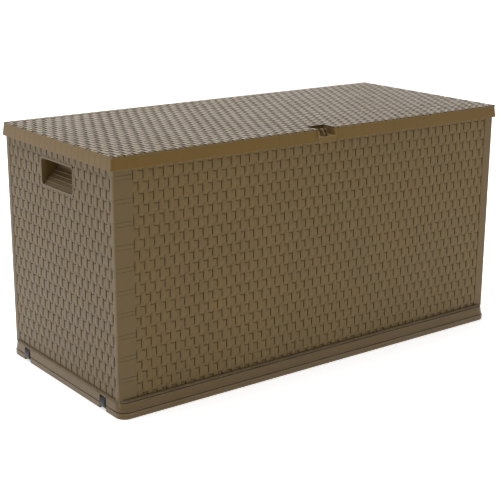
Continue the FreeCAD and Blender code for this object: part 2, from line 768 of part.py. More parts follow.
def wall_bracket_screws():
    """Y and Z of the two screws in each strut wall bracket."""
    return [(strut_wall_y, strut_wall_z + shift) for shift in (-wall_screw_reach, wall_screw_reach)]


def lid_bracket_screws():
    """Seat points of the two screws in each strut lid bracket."""
    z = lid_under - lid_bracket_pad - hinge_plate
    x = bracket_web_x - bracket_foot / 2 - hinge_plate
    reach = bracket_screw_reach
    return [(side * x, strut_lid_y + shift, z) for _, side in end_sides for shift in (-reach, reach)]


def strut_x_span(side):
    """The near and far X of a strut's eyes."""
    return side * (strut_x - strut_eye_width / 2), side * (strut_x + strut_eye_width / 2)


def make_wall_bracket(side):
    """The strut's lower bracket: a plate on the end panel with a stud."""
    x_wall = side * rib_face_x
    x_in = side * (rib_face_x - hinge_plate)
    near, _ = strut_x_span(side)
    low, high = strut_wall_z - wall_plate_half_height, strut_wall_z + wall_plate_half_height
    near_y, far_y = strut_wall_y - wall_plate_half_width, strut_wall_y + wall_plate_half_width
    plate = box(x_wall, x_in, near_y, far_y, low, high)
    stud = rod(strut_stud_r, (x_in, strut_wall_y, strut_wall_z), (near, strut_wall_y, strut_wall_z))
    collar_end = side * (strut_x + strut_eye_width / 2 + strut_collar_gap)
    collar = rod(strut_stud_r + strut_collar_wall, (x_in, strut_wall_y, strut_wall_z),
                 (collar_end, strut_wall_y, strut_wall_z))
    cuts = [screw_hole(x_in, y, z, (side, 0, 0), screw_short) for y, z in wall_bracket_screws()]
    return without(joined([plate, stud, collar]), cuts)


def make_lid_bracket(side):
    """The strut's upper bracket: an angle under the lid with a short stud facing the rod's eye."""
    near, _ = strut_x_span(side)
    web_x = side * bracket_web_x
    z_top = lid_under - lid_bracket_pad
    foot_low, foot_high = strut_lid_y - bracket_foot_half, strut_lid_y + bracket_foot_half
    foot = box(web_x, web_x - side * bracket_foot, foot_low, foot_high, z_top - hinge_plate, z_top)
    web_low, web_high = strut_lid_y - bracket_web_half, strut_lid_y + bracket_web_half
    web = box(web_x, web_x - side * hinge_plate, web_low, web_high, strut_lid_z - bracket_web_drop, z_top)
    stud = rod(strut_stud_r + 1, (web_x, strut_lid_y, strut_lid_z),
               (near - side * strut_open_gap, strut_lid_y, strut_lid_z))
    cuts = [screw_hole(x, y, z, (0, 0, 1), screw_short) for x, y, z in lid_bracket_screws() if x * side > 0]
    return without(joined([foot, web, stud]), cuts)


def strut_line():
    """Start, unit direction and length of a closed strut in the YZ plane."""
    reach = Vector(0, strut_lid_y - strut_wall_y, strut_lid_z - strut_wall_z)
    return reach.normalize(), math.hypot(strut_lid_y - strut_wall_y, strut_lid_z - strut_wall_z)


def strut_point(side, along):
    """A point on a closed strut's axis, so far from its lower pivot."""
    way, _ = strut_line()
    spot = Vector(side * strut_x, strut_wall_y, strut_wall_z) + way * along
    return (spot.x, spot.y, spot.z)


def strut_eye(side, along, bore):
    """A strut's end eye about a point on its axis."""
    near, far = strut_x_span(side)
    _, y, z = strut_point(side, along)
    ring = rod(strut_eye_r, (near, y, z), (far, y, z))
    hole = rod(bore, (near - side, y, z), (far + side, y, z))
    return ring, hole


def make_strut_cylinder(side):
    """The strut's pressure tube, closed at its eye and with a guide where the rod leaves."""
    _, length = strut_line()
    end = length - strut_tube_clear
    ring, hole = strut_eye(side, 0.0, strut_stud_r + hinge_running_gap)
    foot = strut_eye_r + strut_neck
    tube = rod(strut_tube_r, strut_point(side, foot), strut_point(side, end))
    neck = rod(strut_eye_width / 2 - strut_collar_gap, strut_point(side, 0), strut_point(side, foot + 1))
    chamber_start = strut_point(side, foot + strut_bottom_wall)
    chamber = rod(strut_tube_r - strut_tube_wall, chamber_start, strut_point(side, end - strut_guide_length))
    guide_start = strut_point(side, end - strut_guide_length - 1)
    guide = rod(strut_rod_r + strut_rod_gap, guide_start, strut_point(side, end + 1))
    return without(joined([ring, neck, tube]), [hole, chamber, guide])


def make_strut_rod(side):
    """The strut's rod, its piston and its upper eye."""
    _, length = strut_line()
    ring, hole = strut_eye(side, length, strut_stud_r)
    bar = rod(strut_rod_r, strut_point(side, strut_rod_tail), strut_point(side, length))
    piston_r = strut_tube_r - strut_tube_wall - strut_piston_gap
    piston_end = strut_point(side, strut_rod_tail + strut_piston_length)
    piston = rod(piston_r, strut_point(side, strut_rod_tail), piston_end)
    return without(joined([ring, bar, piston]), [hole])


def make_wheel(y):
    """A small roller wheel with rounded shoulders and a recess around its hub."""
    half = wheel_width / 2
    disc = rod(wheel_r, (wheel_x, y - half, wheel_z), (wheel_x, y + half, wheel_z))
    rims = [edge for edge in disc.Edges if edge.Curve.TypeId == "Part::GeomCircle"]
    disc = disc.makeFillet(wheel_shoulder_r, rims)
    bore_r = axle_r + axle_running_gap
    cuts = [rod(bore_r, (wheel_x, y - half - 1, wheel_z), (wheel_x, y + half + 1, wheel_z))]
    for face in (-1, 1):
        floor_y, past_y = y + face * (half - wheel_dish), y + face * (half + 1)
        dish = rod(wheel_r - wheel_rim, (wheel_x, floor_y, wheel_z), (wheel_x, past_y, wheel_z))
        hub = rod(axle_r + wheel_hub, (wheel_x, floor_y, wheel_z), (wheel_x, past_y, wheel_z))
        cuts.append(dish.cut(hub))
    return without(disc, cuts)


def make_axle(y):
    """A steel axle held at both ends in the base tray."""
    half = wheel_width / 2 + wheel_side_gap + axle_grip
    return rod(axle_r, (wheel_x, y - half, wheel_z), (wheel_x, y + half, wheel_z))


def build():
    """Every node of the box, by name."""
    nodes = {"base_tray": make_base_tray(),
             "front_panel": make_front_panel(), "back_panel": make_back_panel(),
             "lid_shell": make_lid_shell(), "lock_eye": make_lock_eye(), "lock_screws": make_lock_screws(),
             "hinge_body_screws": make_hinge_body_screws()}
    for name, x in hinge_places:
        nodes["hinge_body_leaf_" + name] = make_hinge_body_leaf(x)
        nodes["hinge_lid_leaf_" + name] = make_hinge_lid_leaf(x)
        nodes["hinge_pin_" + name] = make_hinge_pin(x)
    for name, side in end_sides:
        nodes[name + "_end_panel"] = make_end_panel(side)
        nodes["strut_wall_bracket_" + name] = make_wall_bracket(side)
        nodes["strut_lid_bracket_" + name] = make_lid_bracket(side)
        nodes["strut_cylinder_" + name] = make_strut_cylinder(side)
        nodes["strut_rod_" + name] = make_strut_rod(side)
    for name, y in wheel_places():
        nodes["wheel_" + name] = make_wheel(y)
        nodes["axle_" + name] = make_axle(y)
    hinge = [screw(*point, (0, -1, 0), screw_short) for point in lid_hinge_screws()]
    nodes["hinge_lid_screws"] = Part.makeCompound(hinge)
    bracket = [screw(*point, (0, 0, 1), screw_short) for point in lid_bracket_screws()]
    nodes["lid_bracket_screws"] = Part.makeCompound(bracket)
    wall = [screw(side * (rib_face_x - hinge_plate), y, z, (side, 0, 0), screw_short)
            for _, side in end_sides for y, z in wall_bracket_screws()]
    nodes["wall_bracket_screws"] = Part.makeCompound(wall)
    corner = [screw(*point, (0, side_y, 0))
              for side_x in (-1, 1) for side_y in (-1, 1) for point in corner_screws_at(side_x, side_y)]
    nodes["corner_screws"] = Part.makeCompound(corner)
    seat_z = deck_top - deck_thickness
    nodes["base_screws"] = Part.makeCompound([screw(x, y, seat_z, (0, 0, 1)) for x, y in base_screw_places()])
    return nodes


def main():
    os.makedirs("parts", exist_ok=True)
    for name, shape in build().items():
        if not shape.isValid():
            print("not valid:", name)
        shape.exportStep(os.path.join("parts", name + ".step"))
        print(name, "solids", len(shape.Solids), "volume", round(shape.Volume / 1000, 1), "cm3")


main()
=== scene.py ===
import bmesh
import bpy
import json
import math
from mathutils import Matrix, Vector


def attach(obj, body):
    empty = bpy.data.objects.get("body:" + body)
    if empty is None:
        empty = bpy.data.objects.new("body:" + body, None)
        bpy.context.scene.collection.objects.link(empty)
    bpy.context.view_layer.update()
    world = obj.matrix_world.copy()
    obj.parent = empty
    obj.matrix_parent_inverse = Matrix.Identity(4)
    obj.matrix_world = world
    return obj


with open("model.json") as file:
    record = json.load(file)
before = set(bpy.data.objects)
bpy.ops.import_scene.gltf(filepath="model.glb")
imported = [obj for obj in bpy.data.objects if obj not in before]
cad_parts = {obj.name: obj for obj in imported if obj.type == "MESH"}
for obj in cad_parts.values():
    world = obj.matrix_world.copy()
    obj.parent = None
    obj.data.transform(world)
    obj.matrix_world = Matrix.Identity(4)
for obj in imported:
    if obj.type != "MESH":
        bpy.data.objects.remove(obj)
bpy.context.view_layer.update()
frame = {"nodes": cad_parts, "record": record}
nodes = frame["nodes"]
scene = bpy.context.scene

wallField = {
    "bottom": 0.0395, "top": 0.5850,
    "wideSide": 0.5466,        # the edge beside a corner band: the front's at -X, the back's at +X
    "narrowSide": 0.5681,      # the other edge, beside a narrow plain strip
    "frontFace": 0.2545, "frontCrown": 0.258,
    "endHalf": 0.2452, "endFace": 0.5905, "endCrown": 0.594,
    "pitch": (0.0132, 0.02605),
    "endPitch": (0.0137, 0.0258),
}
lidField = {
    "halfLength": 0.5982, "front": -0.2622, "back": 0.2538, "face": 0.6045, "crown": 0.608,
    "pitch": (0.01315, 0.0258),
}


def addNode(tree, kind, **settings):
    node = tree.nodes.new(kind)
    for name, value in settings.items():
        setattr(node, name, value)
    return node


def plug(tree, socket, value):
    # a link if the value is a socket, a constant if not
    if isinstance(value, bpy.types.NodeSocket):
        tree.links.new(value, socket)
    else:
        socket.default_value = value


def calc(tree, operation, *values):
    node = addNode(tree, "ShaderNodeMath", operation=operation)
    for i, value in enumerate(values):
        plug(tree, node.inputs[i], value)
    return node.outputs[0]


def blendColours(tree, factor, first, second):
    node = addNode(tree, "ShaderNodeMix", data_type="RGBA", blend_type="MIX", clamp_factor=True)
    plug(tree, node.inputs[0], factor)
    plug(tree, node.inputs[6], first)
    plug(tree, node.inputs[7], second)
    return node.outputs[2]


def rampBetween(tree, value, low, high, lowTo=0.0, highTo=1.0):
    node = addNode(tree, "ShaderNodeMapRange", clamp=True, interpolation_type="SMOOTHSTEP")
    for name, given in (("Value", value), ("From Min", low), ("From Max", high),
                        ("To Min", lowTo), ("To Max", highTo)):
        plug(tree, node.inputs[name], given)
    return node.outputs["Result"]


def noiseAt(tree, vector, scale, detail=2.0, roughness=0.5):
    node = addNode(tree, "ShaderNodeTexNoise")
    plug(tree, node.inputs["Vector"], vector)
    plug(tree, node.inputs["Scale"], scale)
    node.inputs["Detail"].default_value = detail
    node.inputs["Roughness"].default_value = roughness
    return node.outputs["Fac"]


def stretched(tree, vector, scale):
    node = addNode(tree, "ShaderNodeMapping")
    plug(tree, node.inputs["Vector"], vector)
    plug(tree, node.inputs["Scale"], scale)
    return node.outputs[0]


def axesOf(tree, vector):
    node = addNode(tree, "ShaderNodeSeparateXYZ")
    plug(tree, node.inputs[0], vector)
    return node.outputs


def newGroup(name, kind, inputs, outputs):
    group = bpy.data.node_groups.new(name, kind)
    for title, socketType, value in inputs:
        socket = group.interface.new_socket(name=title, in_out="INPUT", socket_type=socketType)
        if value is not None:
            socket.default_value = value
    for title, socketType in outputs:
        group.interface.new_socket(name=title, in_out="OUTPUT", socket_type=socketType)
    inside = group.nodes.new("NodeGroupInput")
    outside = group.nodes.new("NodeGroupOutput")
    return group, inside.outputs, outside.inputs


def makeMouldGrain():
    # fine moulded fibre along one direction, with slow blotches of tone
    group, given, out = newGroup("mouldGrain", "ShaderNodeTree", [
        ("Vector", "NodeSocketVector", None),
        ("Colour", "NodeSocketColor", (0.2, 0.13, 0.06, 1)),
        ("Stretch", "NodeSocketVector", (1, 1, 1)),
        ("Fibre Scale", "NodeSocketFloat", 900.0),
        ("Fibre Depth", "NodeSocketFloat", 0.1),
        ("Blotch Scale", "NodeSocketFloat", 6.0),
        ("Blotch Depth", "NodeSocketFloat", 0.06),
    ], [
        ("Colour", "NodeSocketColor"),
        ("Height", "NodeSocketFloat"),
        ("Roughness Shift", "NodeSocketFloat"),
    ])
    vector = given["Vector"]
    fibre = noiseAt(group, stretched(group, vector, given["Stretch"]), given["Fibre Scale"], 3.0, 0.6)
    blotch = noiseAt(group, vector, given["Blotch Scale"], 2.0)
    fibreSwing = calc(group, "MULTIPLY", calc(group, "SUBTRACT", fibre, 0.5), given["Fibre Depth"])
    blotchSwing = calc(group, "MULTIPLY", calc(group, "SUBTRACT", blotch, 0.5), given["Blotch Depth"])
    swing = calc(group, "ADD", fibreSwing, blotchSwing)
    brightness = addNode(group, "ShaderNodeVectorMath", operation="SCALE")
    plug(group, brightness.inputs[0], given["Colour"])
    factor = calc(group, "ADD", 1.0, calc(group, "MULTIPLY", swing, 2.0))
    plug(group, brightness.inputs["Scale"], factor)
    plug(group, out["Colour"], brightness.outputs[0])
    plug(group, out["Height"], fibre)
    roughnessShift = calc(group, "MULTIPLY", calc(group, "SUBTRACT", blotch, 0.5), 0.12)
    plug(group, out["Roughness Shift"], roughnessShift)
    return group


def makeWeaveDepth():
    # 0 on the crowns of the strands, 1 at the bottom of the slits between them; it masks the painted shade
    # in the slits
    group, given, out = newGroup("weaveDepth", "ShaderNodeTree", [
        ("Along", "NodeSocketFloat", 0.0),
        ("Crown", "NodeSocketFloat", 0.258),
        ("Relief", "NodeSocketFloat", 0.0035),
        ("Start", "NodeSocketFloat", 0.3),
        ("End", "NodeSocketFloat", 0.9),
    ], [("Depth", "NodeSocketFloat")])
    below = calc(group, "DIVIDE", calc(group, "SUBTRACT", given["Crown"], given["Along"]), given["Relief"])
    plug(group, out["Depth"], rampBetween(group, below, given["Start"], given["End"]))
    return group


def makeEdgeWearAndHighlight():
    # pale edges, partly rubbed wear and partly painted highlight, found from how far the bevelled normal
    # leans from the true one
    group, given, out = newGroup("edgeWearAndHighlight", "ShaderNodeTree", [
        ("Vector", "NodeSocketVector", None),
        ("Width", "NodeSocketFloat", 0.002),
        ("Amount", "NodeSocketFloat", 0.5),
        ("Patches", "NodeSocketFloat", 40.0),
    ], [("Wear And Highlight", "NodeSocketFloat")])
    bevel = addNode(group, "ShaderNodeBevel", samples=4)
    plug(group, bevel.inputs["Radius"], given["Width"])
    geometry = addNode(group, "ShaderNodeNewGeometry")
    lean = addNode(group, "ShaderNodeVectorMath", operation="DOT_PRODUCT")
    plug(group, lean.inputs[0], bevel.outputs[0])
    plug(group, lean.inputs[1], geometry.outputs["Normal"])
    edge = rampBetween(group, lean.outputs["Value"], 0.99, 0.8)
    cloud = noiseAt(group, given["Vector"], given["Patches"], 3.0)
    patches = rampBetween(group, cloud, 0.3, 0.7, 0.45, 1.0)
    patchyEdge = calc(group, "MULTIPLY", edge, patches)
    plug(group, out["Wear And Highlight"], calc(group, "MULTIPLY", patchyEdge, given["Amount"]))
    return group


mouldGrain = makeMouldGrain()
weaveDepth = makeWeaveDepth()
edgeWearAndHighlight = makeEdgeWearAndHighlight()
print("shader groups ready")


def newFinish(name):
    material = bpy.data.materials.new(name)
    material.use_nodes = True
    tree = material.node_tree
    tree.nodes.clear()
    shader = addNode(tree, "ShaderNodeBsdfPrincipled")
    surface = addNode(tree, "ShaderNodeOutputMaterial")
    tree.links.new(shader.outputs[0], surface.inputs["Surface"])
    where = addNode(tree, "ShaderNodeTexCoord").outputs["Object"]
    return material, tree, shader, where


def useGroup(tree, group, **values):
    node = addNode(tree, "ShaderNodeGroup", node_tree=group)
    for name, value in values.items():
        plug(tree, node.inputs[name.replace("_", " ")], value)
    return node.outputs


def addBump(tree, shader, height, strength, distance):
    bump = addNode(tree, "ShaderNodeBump")
    bump.inputs["Strength"].default_value = strength
    bump.inputs["Distance"].default_value = distance
    plug(tree, bump.inputs["Height"], height)
    plug(tree, shader.inputs["Normal"], bump.outputs[0])


resinLook = {
    "strand": (0.154, 0.096, 0.026, 1),      # crown of the woven strands, front and back
    "slitShade": (0.088, 0.055, 0.018, 1),        # painted shade at the bottom of the slits
    # painted shade: the ends' strands are a darker copy of the same resin
    "endStrandShaded": (0.128, 0.079, 0.022, 1),
    # painted shade in the slits of the ends
    "endSlitShade": (0.055, 0.037, 0.016, 1),
    # painted light: the lid's strands are a lighter copy of the same resin
    "lidStrandLit": (0.170, 0.107, 0.032, 1),
    # painted shade in the slits of the lid
    "lidSlitShade": (0.026, 0.016, 0.006, 1),
    "plain": (0.146, 0.093, 0.031, 1),       # unwoven borders and the corner bands
    "lidEdge": (0.165, 0.092, 0.014, 1),     # the lid's skirt
    "plinth": (0.145, 0.093, 0.035, 1),
    "pocket": (0.100, 0.056, 0.010, 1),      # painted shade on the side walls of the grip pockets
    # pale edges: rubbed wear and painted highlight
    "wornAndLit": (0.42, 0.34, 0.24, 1),
    "roughness": 0.46,
    "specular": 0.25,
    "sheen": 0.22, "sheenRoughness": 0.45,
}
weaveLook = {
    "relief": 0.0036,          # from the crowns down to the bottom of the slits
    "cutEdge": 0.0008,         # how far in from a field's border the colour of the crowns is kept
    "slitRoughness": 0.3,
}


def setResinShader(shader):
    shader.inputs["Specular IOR Level"].default_value = resinLook["specular"]
    shader.inputs["Sheen Weight"].default_value = resinLook["sheen"]
    shader.inputs["Sheen Roughness"].default_value = resinLook["sheenRoughness"]


def makeWeaveFinish(name, axis, crown, stretch, tones, fade, borders):
    material, tree, shader, where = newFinish(name)
    strandColour, slitShadeColour = tones
    parts = axesOf(tree, where)
    along = calc(tree, "ABSOLUTE", parts[axis])
    depth = useGroup(tree, weaveDepth, Along=along, Crown=crown, Relief=weaveLook["relief"],
                     Start=fade[0], End=fade[1])["Depth"]
    for borderAxis, low, high in borders:
        # the cut ends at a field's border keep the colour of the crowns, without painted slit shade
        fromLow = rampBetween(tree, parts[borderAxis], low, low + weaveLook["cutEdge"])
        fromHigh = rampBetween(tree, parts[borderAxis], high, high - weaveLook["cutEdge"])
        depth = calc(tree, "MULTIPLY", depth, calc(tree, "MULTIPLY", fromLow, fromHigh))
    grain = useGroup(tree, mouldGrain, Vector=where, Colour=strandColour, Stretch=stretch,
                     Fibre_Scale=700.0, Fibre_Depth=0.16, Blotch_Scale=7.0, Blotch_Depth=0.10)
    # painted shade: the colour darkens towards the slit tone with depth below the crowns
    colour = blendColours(tree, depth, grain["Colour"], slitShadeColour)
    plug(tree, shader.inputs["Base Color"], colour)
    rough = calc(tree, "ADD", resinLook["roughness"], grain["Roughness Shift"])
    dull = calc(tree, "MULTIPLY", depth, weaveLook["slitRoughness"])
    plug(tree, shader.inputs["Roughness"], calc(tree, "ADD", rough, dull))
    setResinShader(shader)
    addBump(tree, shader, grain["Height"], 0.35, 0.0004)
    return material


def makeSeams():
    # thin shadow lines at an even pitch along one direction
    group, given, out = newGroup("seamShadowLines", "ShaderNodeTree", [
        ("Along", "NodeSocketFloat", 0.0),
        ("Pitch", "NodeSocketFloat", 0.0263),
        ("Width", "NodeSocketFloat", 0.06),
    ], [("Seam", "NodeSocketFloat")])
    cell = calc(group, "FRACT", calc(group, "DIVIDE", given["Along"], given["Pitch"]))
    off = calc(group, "ABSOLUTE", calc(group, "SUBTRACT", cell, 0.5))
    plug(group, out["Seam"], rampBetween(group, off, given["Width"], 0.0))
    return group


seamShadowLines = makeSeams()

pocketLook = {
    "wallDark": (0.5885, 0.578),        # |X| from the mouth inwards, over which a side wall darkens
    "wallReach": (0.12, 0.10),          # |Y| within which a wall belongs to a pocket
    "wallFacing": (0.4, 0.7),           # |Y| of the normal of a side wall
    "wallShade": 0.85,
    "frameMiddle": 0.5185,
    "frameHalfHeight": (0.0385, 0.0375),
    "frameHalfWidth": (0.082, 0.081),
    "frameFace": (0.5885, 0.5890),
    "frameShade": 0.35,
}
seamLook = {
    "endPitch": 0.0258, "endWidth": 0.09,
    "longPitch": 0.0263, "longWidth": 0.05,
    "longShade": 0.35,                  # against 1 on the ends
    "endFacing": 0.7,                   # |X| of the normal of an end
}


def normalOf(tree):
    return axesOf(tree, addNode(tree, "ShaderNodeNewGeometry").outputs["Normal"])


def shadePockets(tree, where, tone):
    look = pocketLook
    parts = axesOf(tree, where)
    besideX = calc(tree, "ABSOLUTE", parts["X"])
    besideY = calc(tree, "ABSOLUTE", parts["Y"])
    # painted shade: the side walls of the grip pockets darken towards their backs
    inward = rampBetween(tree, besideX, *look["wallDark"])
    nearMiddle = rampBetween(tree, besideY, *look["wallReach"])
    sideways = rampBetween(tree, calc(tree, "ABSOLUTE", normalOf(tree)["Y"]), *look["wallFacing"])
    shade = calc(tree, "MULTIPLY", calc(tree, "MULTIPLY", inward, nearMiddle),
                 calc(tree, "MULTIPLY", sideways, look["wallShade"]))
    tone = blendColours(tree, shade, tone, resinLook["pocket"])
    # and their frames get painted shade, a little darker than the weave
    besideZ = calc(tree, "ABSOLUTE", calc(tree, "SUBTRACT", parts["Z"], look["frameMiddle"]))
    inFrame = calc(tree, "MULTIPLY", rampBetween(tree, besideZ, *look["frameHalfHeight"]),
                   rampBetween(tree, besideY, *look["frameHalfWidth"]))
    onEnd = rampBetween(tree, besideX, *look["frameFace"])
    shade = calc(tree, "MULTIPLY", calc(tree, "MULTIPLY", inFrame, onEnd), look["frameShade"])
    return blendColours(tree, shade, tone, resinLook["slitShade"])


def shadeSeams(tree, where, tone, amount):
    look = seamLook
    parts = axesOf(tree, where)
    # painted shadow lines along the skirt: full on the ends, weaker along the long sides
    onEnd = calc(tree, "GREATER_THAN", calc(tree, "ABSOLUTE", normalOf(tree)["X"]), look["endFacing"])
    endSeam = useGroup(tree, seamShadowLines, Along=parts["Y"], Pitch=look["endPitch"],
                       Width=look["endWidth"])["Seam"]
    longSeam = useGroup(tree, seamShadowLines, Along=parts["X"], Pitch=look["longPitch"],
                        Width=look["longWidth"])["Seam"]
    seam = addNode(tree, "ShaderNodeMix", data_type="FLOAT")
    plug(tree, seam.inputs[0], onEnd)
    plug(tree, seam.inputs[2], calc(tree, "MULTIPLY", longSeam, look["longShade"]))
    plug(tree, seam.inputs[3], endSeam)
    return blendColours(tree, calc(tree, "MULTIPLY", seam.outputs[0], amount), tone, resinLook["slitShade"])


def makePlainResin(name, colour, stretch, wearAndHighlightWidth, wearAndHighlightAmount, fibreDepth=0.10, pocket=False, seams=0.0):
    material, tree, shader, where = newFinish(name)
    grain = useGroup(tree, mouldGrain, Vector=where, Colour=colour, Stretch=stretch,
                     Fibre_Scale=500.0, Fibre_Depth=fibreDepth, Blotch_Scale=5.0, Blotch_Depth=0.09)
    wearAndHighlight = useGroup(tree, edgeWearAndHighlight, Vector=where, Width=wearAndHighlightWidth, Amount=wearAndHighlightAmount, Patches=35.0)["Wear And Highlight"]
    tone = grain["Colour"]
    if pocket:
        tone = shadePockets(tree, where, tone)
    if seams:
        tone = shadeSeams(tree, where, tone, seams)
    # pale edges, partly rubbed wear and partly painted highlight
    plug(tree, shader.inputs["Base Color"], blendColours(tree, wearAndHighlight, tone, resinLook["wornAndLit"]))
    rough = calc(tree, "ADD", resinLook["roughness"], grain["Roughness Shift"])
    plug(tree, shader.inputs["Roughness"], calc(tree, "SUBTRACT", rough, calc(tree, "MULTIPLY", wearAndHighlight, 0.12)))
    setResinShader(shader)
    addBump(tree, shader, grain["Height"], 0.2, 0.0003)
    return material


metalLook = {
    "zinc": (0.44, 0.44, 0.43, 1), "zincDark": (0.22, 0.22, 0.21, 1), "zincWornAndLit": (0.60, 0.60, 0.59, 1),
    "chrome": (0.80, 0.80, 0.82, 1), "chromeLine": (0.66, 0.67, 0.70, 1),
    "tube": (0.018, 0.018, 0.019, 1), "tubeWornAndLit": (0.25, 0.25, 0.25, 1),
    "bronze": (0.150, 0.100, 0.055, 1), "bronzeDark": (0.085, 0.055, 0.030, 1),
    "bronzeWornAndLit": (0.30, 0.23, 0.16, 1),
}
wheelLook = {
    "black": (0.014, 0.014, 0.015, 1), "scuffed": (0.05, 0.05, 0.05, 1), "wornAndLit": (0.13, 0.13, 0.13, 1),
}


def makeZinc():
    material, tree, shader, where = newFinish("zincPlate")
    spangle = noiseAt(tree, where, 160.0, 4.0, 0.6)
    streak = noiseAt(tree, stretched(tree, where, (40, 900, 900)), 1.0, 2.0)
    wearAndHighlight = useGroup(tree, edgeWearAndHighlight, Vector=where, Width=0.0008, Amount=0.7, Patches=200.0)["Wear And Highlight"]
    tone = blendColours(tree, calc(tree, "MULTIPLY", spangle, 0.7), metalLook["zinc"], metalLook["zincDark"])
    # pale edges, partly rubbed wear and partly painted highlight
    plug(tree, shader.inputs["Base Color"], blendColours(tree, wearAndHighlight, tone, metalLook["zincWornAndLit"]))
    plug(tree, shader.inputs["Roughness"], rampBetween(tree, streak, 0.2, 0.8, 0.28, 0.48))
    shader.inputs["Metallic"].default_value = 1.0
    addBump(tree, shader, spangle, 0.15, 0.0002)
    return material


def makeBronzedSteel():
    material, tree, shader, where = newFinish("bronzedSteel")
    patch = noiseAt(tree, where, 220.0, 4.0, 0.6)
    wearAndHighlight = useGroup(tree, edgeWearAndHighlight, Vector=where, Width=0.0007, Amount=0.5, Patches=180.0)["Wear And Highlight"]
    tone = blendColours(tree, patch, metalLook["bronze"], metalLook["bronzeDark"])
    # pale edges, partly rubbed wear and partly painted highlight
    plug(tree, shader.inputs["Base Color"], blendColours(tree, wearAndHighlight, tone, metalLook["bronzeWornAndLit"]))
    plug(tree, shader.inputs["Roughness"], rampBetween(tree, patch, 0.2, 0.8, 0.42, 0.6))
    shader.inputs["Metallic"].default_value = 0.5
    addBump(tree, shader, patch, 0.15, 0.0002)
    return material


def makeStrutTube():
    material, tree, shader, where = newFinish("strutTube")
    peel = noiseAt(tree, where, 1200.0, 1.0)
    wearAndHighlight = useGroup(tree, edgeWearAndHighlight, Vector=where, Width=0.0008, Amount=0.6, Patches=150.0)["Wear And Highlight"]
    # pale edges, partly rubbed wear and partly painted highlight
    tone = blendColours(tree, wearAndHighlight, metalLook["tube"], metalLook["tubeWornAndLit"])
    plug(tree, shader.inputs["Base Color"], tone)
    smear = noiseAt(tree, where, 60.0)
    plug(tree, shader.inputs["Roughness"], rampBetween(tree, smear, 0.3, 0.7, 0.26, 0.4))
    addBump(tree, shader, peel, 0.12, 0.0002)
    return material


def makeStrutRod():
    material, tree, shader, where = newFinish("strutRod")
    hairline = noiseAt(tree, stretched(tree, where, (900, 60, 60)), 1.0, 3.0)
    tone = blendColours(tree, hairline, metalLook["chrome"], metalLook["chromeLine"])
    plug(tree, shader.inputs["Base Color"], tone)
    plug(tree, shader.inputs["Roughness"], rampBetween(tree, hairline, 0.3, 0.7, 0.07, 0.16))
    shader.inputs["Metallic"].default_value = 1.0
    return material


def makeWheelBlack():
    material, tree, shader, where = newFinish("wheelBlack")
    scuff = noiseAt(tree, where, 240.0, 4.0, 0.65)
    wearAndHighlight = useGroup(tree, edgeWearAndHighlight, Vector=where, Width=0.0012, Amount=0.7, Patches=120.0)["Wear And Highlight"]
    scuffed = rampBetween(tree, scuff, 0.55, 0.8)
    tone = blendColours(tree, scuffed, wheelLook["black"], wheelLook["scuffed"])
    # pale edges, partly scuffed wear and partly painted highlight
    plug(tree, shader.inputs["Base Color"], blendColours(tree, wearAndHighlight, tone, wheelLook["wornAndLit"]))
    plug(tree, shader.inputs["Roughness"], rampBetween(tree, scuff, 0.3, 0.8, 0.32, 0.6))
    addBump(tree, shader, scuff, 0.2, 0.0003)
    return material


wallTones = (resinLook["strand"], resinLook["slitShade"])
endTones = (resinLook["endStrandShaded"], resinLook["endSlitShade"])
lidTones = (resinLook["lidStrandLit"], resinLook["lidSlitShade"])
grainUp, grainDeep = (1, 1, 0.06), (1, 0.06, 1)      # the grain runs along the strands
# how far below the crowns the painted slit shade starts and is full
wallFade, endFade, lidFade = (0.26, 0.75), (0.21, 0.6), (0.05, 0.19)
wide, narrow, endHalf = wallField["wideSide"], wallField["narrowSide"], wallField["endHalf"]
frontWeave = makeWeaveFinish("frontWeave", "Y", wallField["frontCrown"], grainUp, wallTones, wallFade,
                             [("X", -wide, narrow)])
backWeave = makeWeaveFinish("backWeave", "Y", wallField["frontCrown"], grainUp, wallTones, wallFade,
                            [("X", -narrow, wide)])
endWeave = makeWeaveFinish("endWeave", "X", wallField["endCrown"], grainUp, endTones, endFade,
                           [("Y", -endHalf, endHalf)])
lidWeave = makeWeaveFinish("lidWeave", "Z", lidField["crown"], grainDeep, lidTones, lidFade,
                           [("X", -lidField["halfLength"], lidField["halfLength"]),
                            ("Y", lidField["front"], lidField["back"])])
panelResin = makePlainResin("panelResin", resinLook["plain"], (1, 1, 0.1), 0.002, 0.12, pocket=True)
lidResin = makePlainResin("lidResin", resinLook["lidEdge"], (0.06, 0.06, 1), 0.003, 0.35, seams=0.85)
plinthResin = makePlainResin("plinthResin", resinLook["plinth"], (0.03, 0.03, 1), 0.003, 0.5, 0.2)
zincPlate = makeZinc()
bronzedSteel = makeBronzedSteel()
strutTube = makeStrutTube()
strutRod = makeStrutRod()
wheelBlack = makeWheelBlack()

finishOfSlot = {
    "panel_resin": panelResin, "lid_resin": lidResin, "base_resin": plinthResin,
    "zinc_steel": zincPlate, "strut_black": strutTube, "strut_chrome": strutRod,
    "wheel_black": wheelBlack,
}
for subpart in frame["record"]["subparts"]:
    node = nodes[subpart["node"]]
    node.data.materials.clear()
    node.data.materials.append(finishOfSlot[subpart["material_slot"]])
for nodeName in ("lock_eye", "lock_screws"):
    nodes[nodeName].data.materials[0] = bronzedSteel
print("finishes on", len(nodes), "CAD nodes")


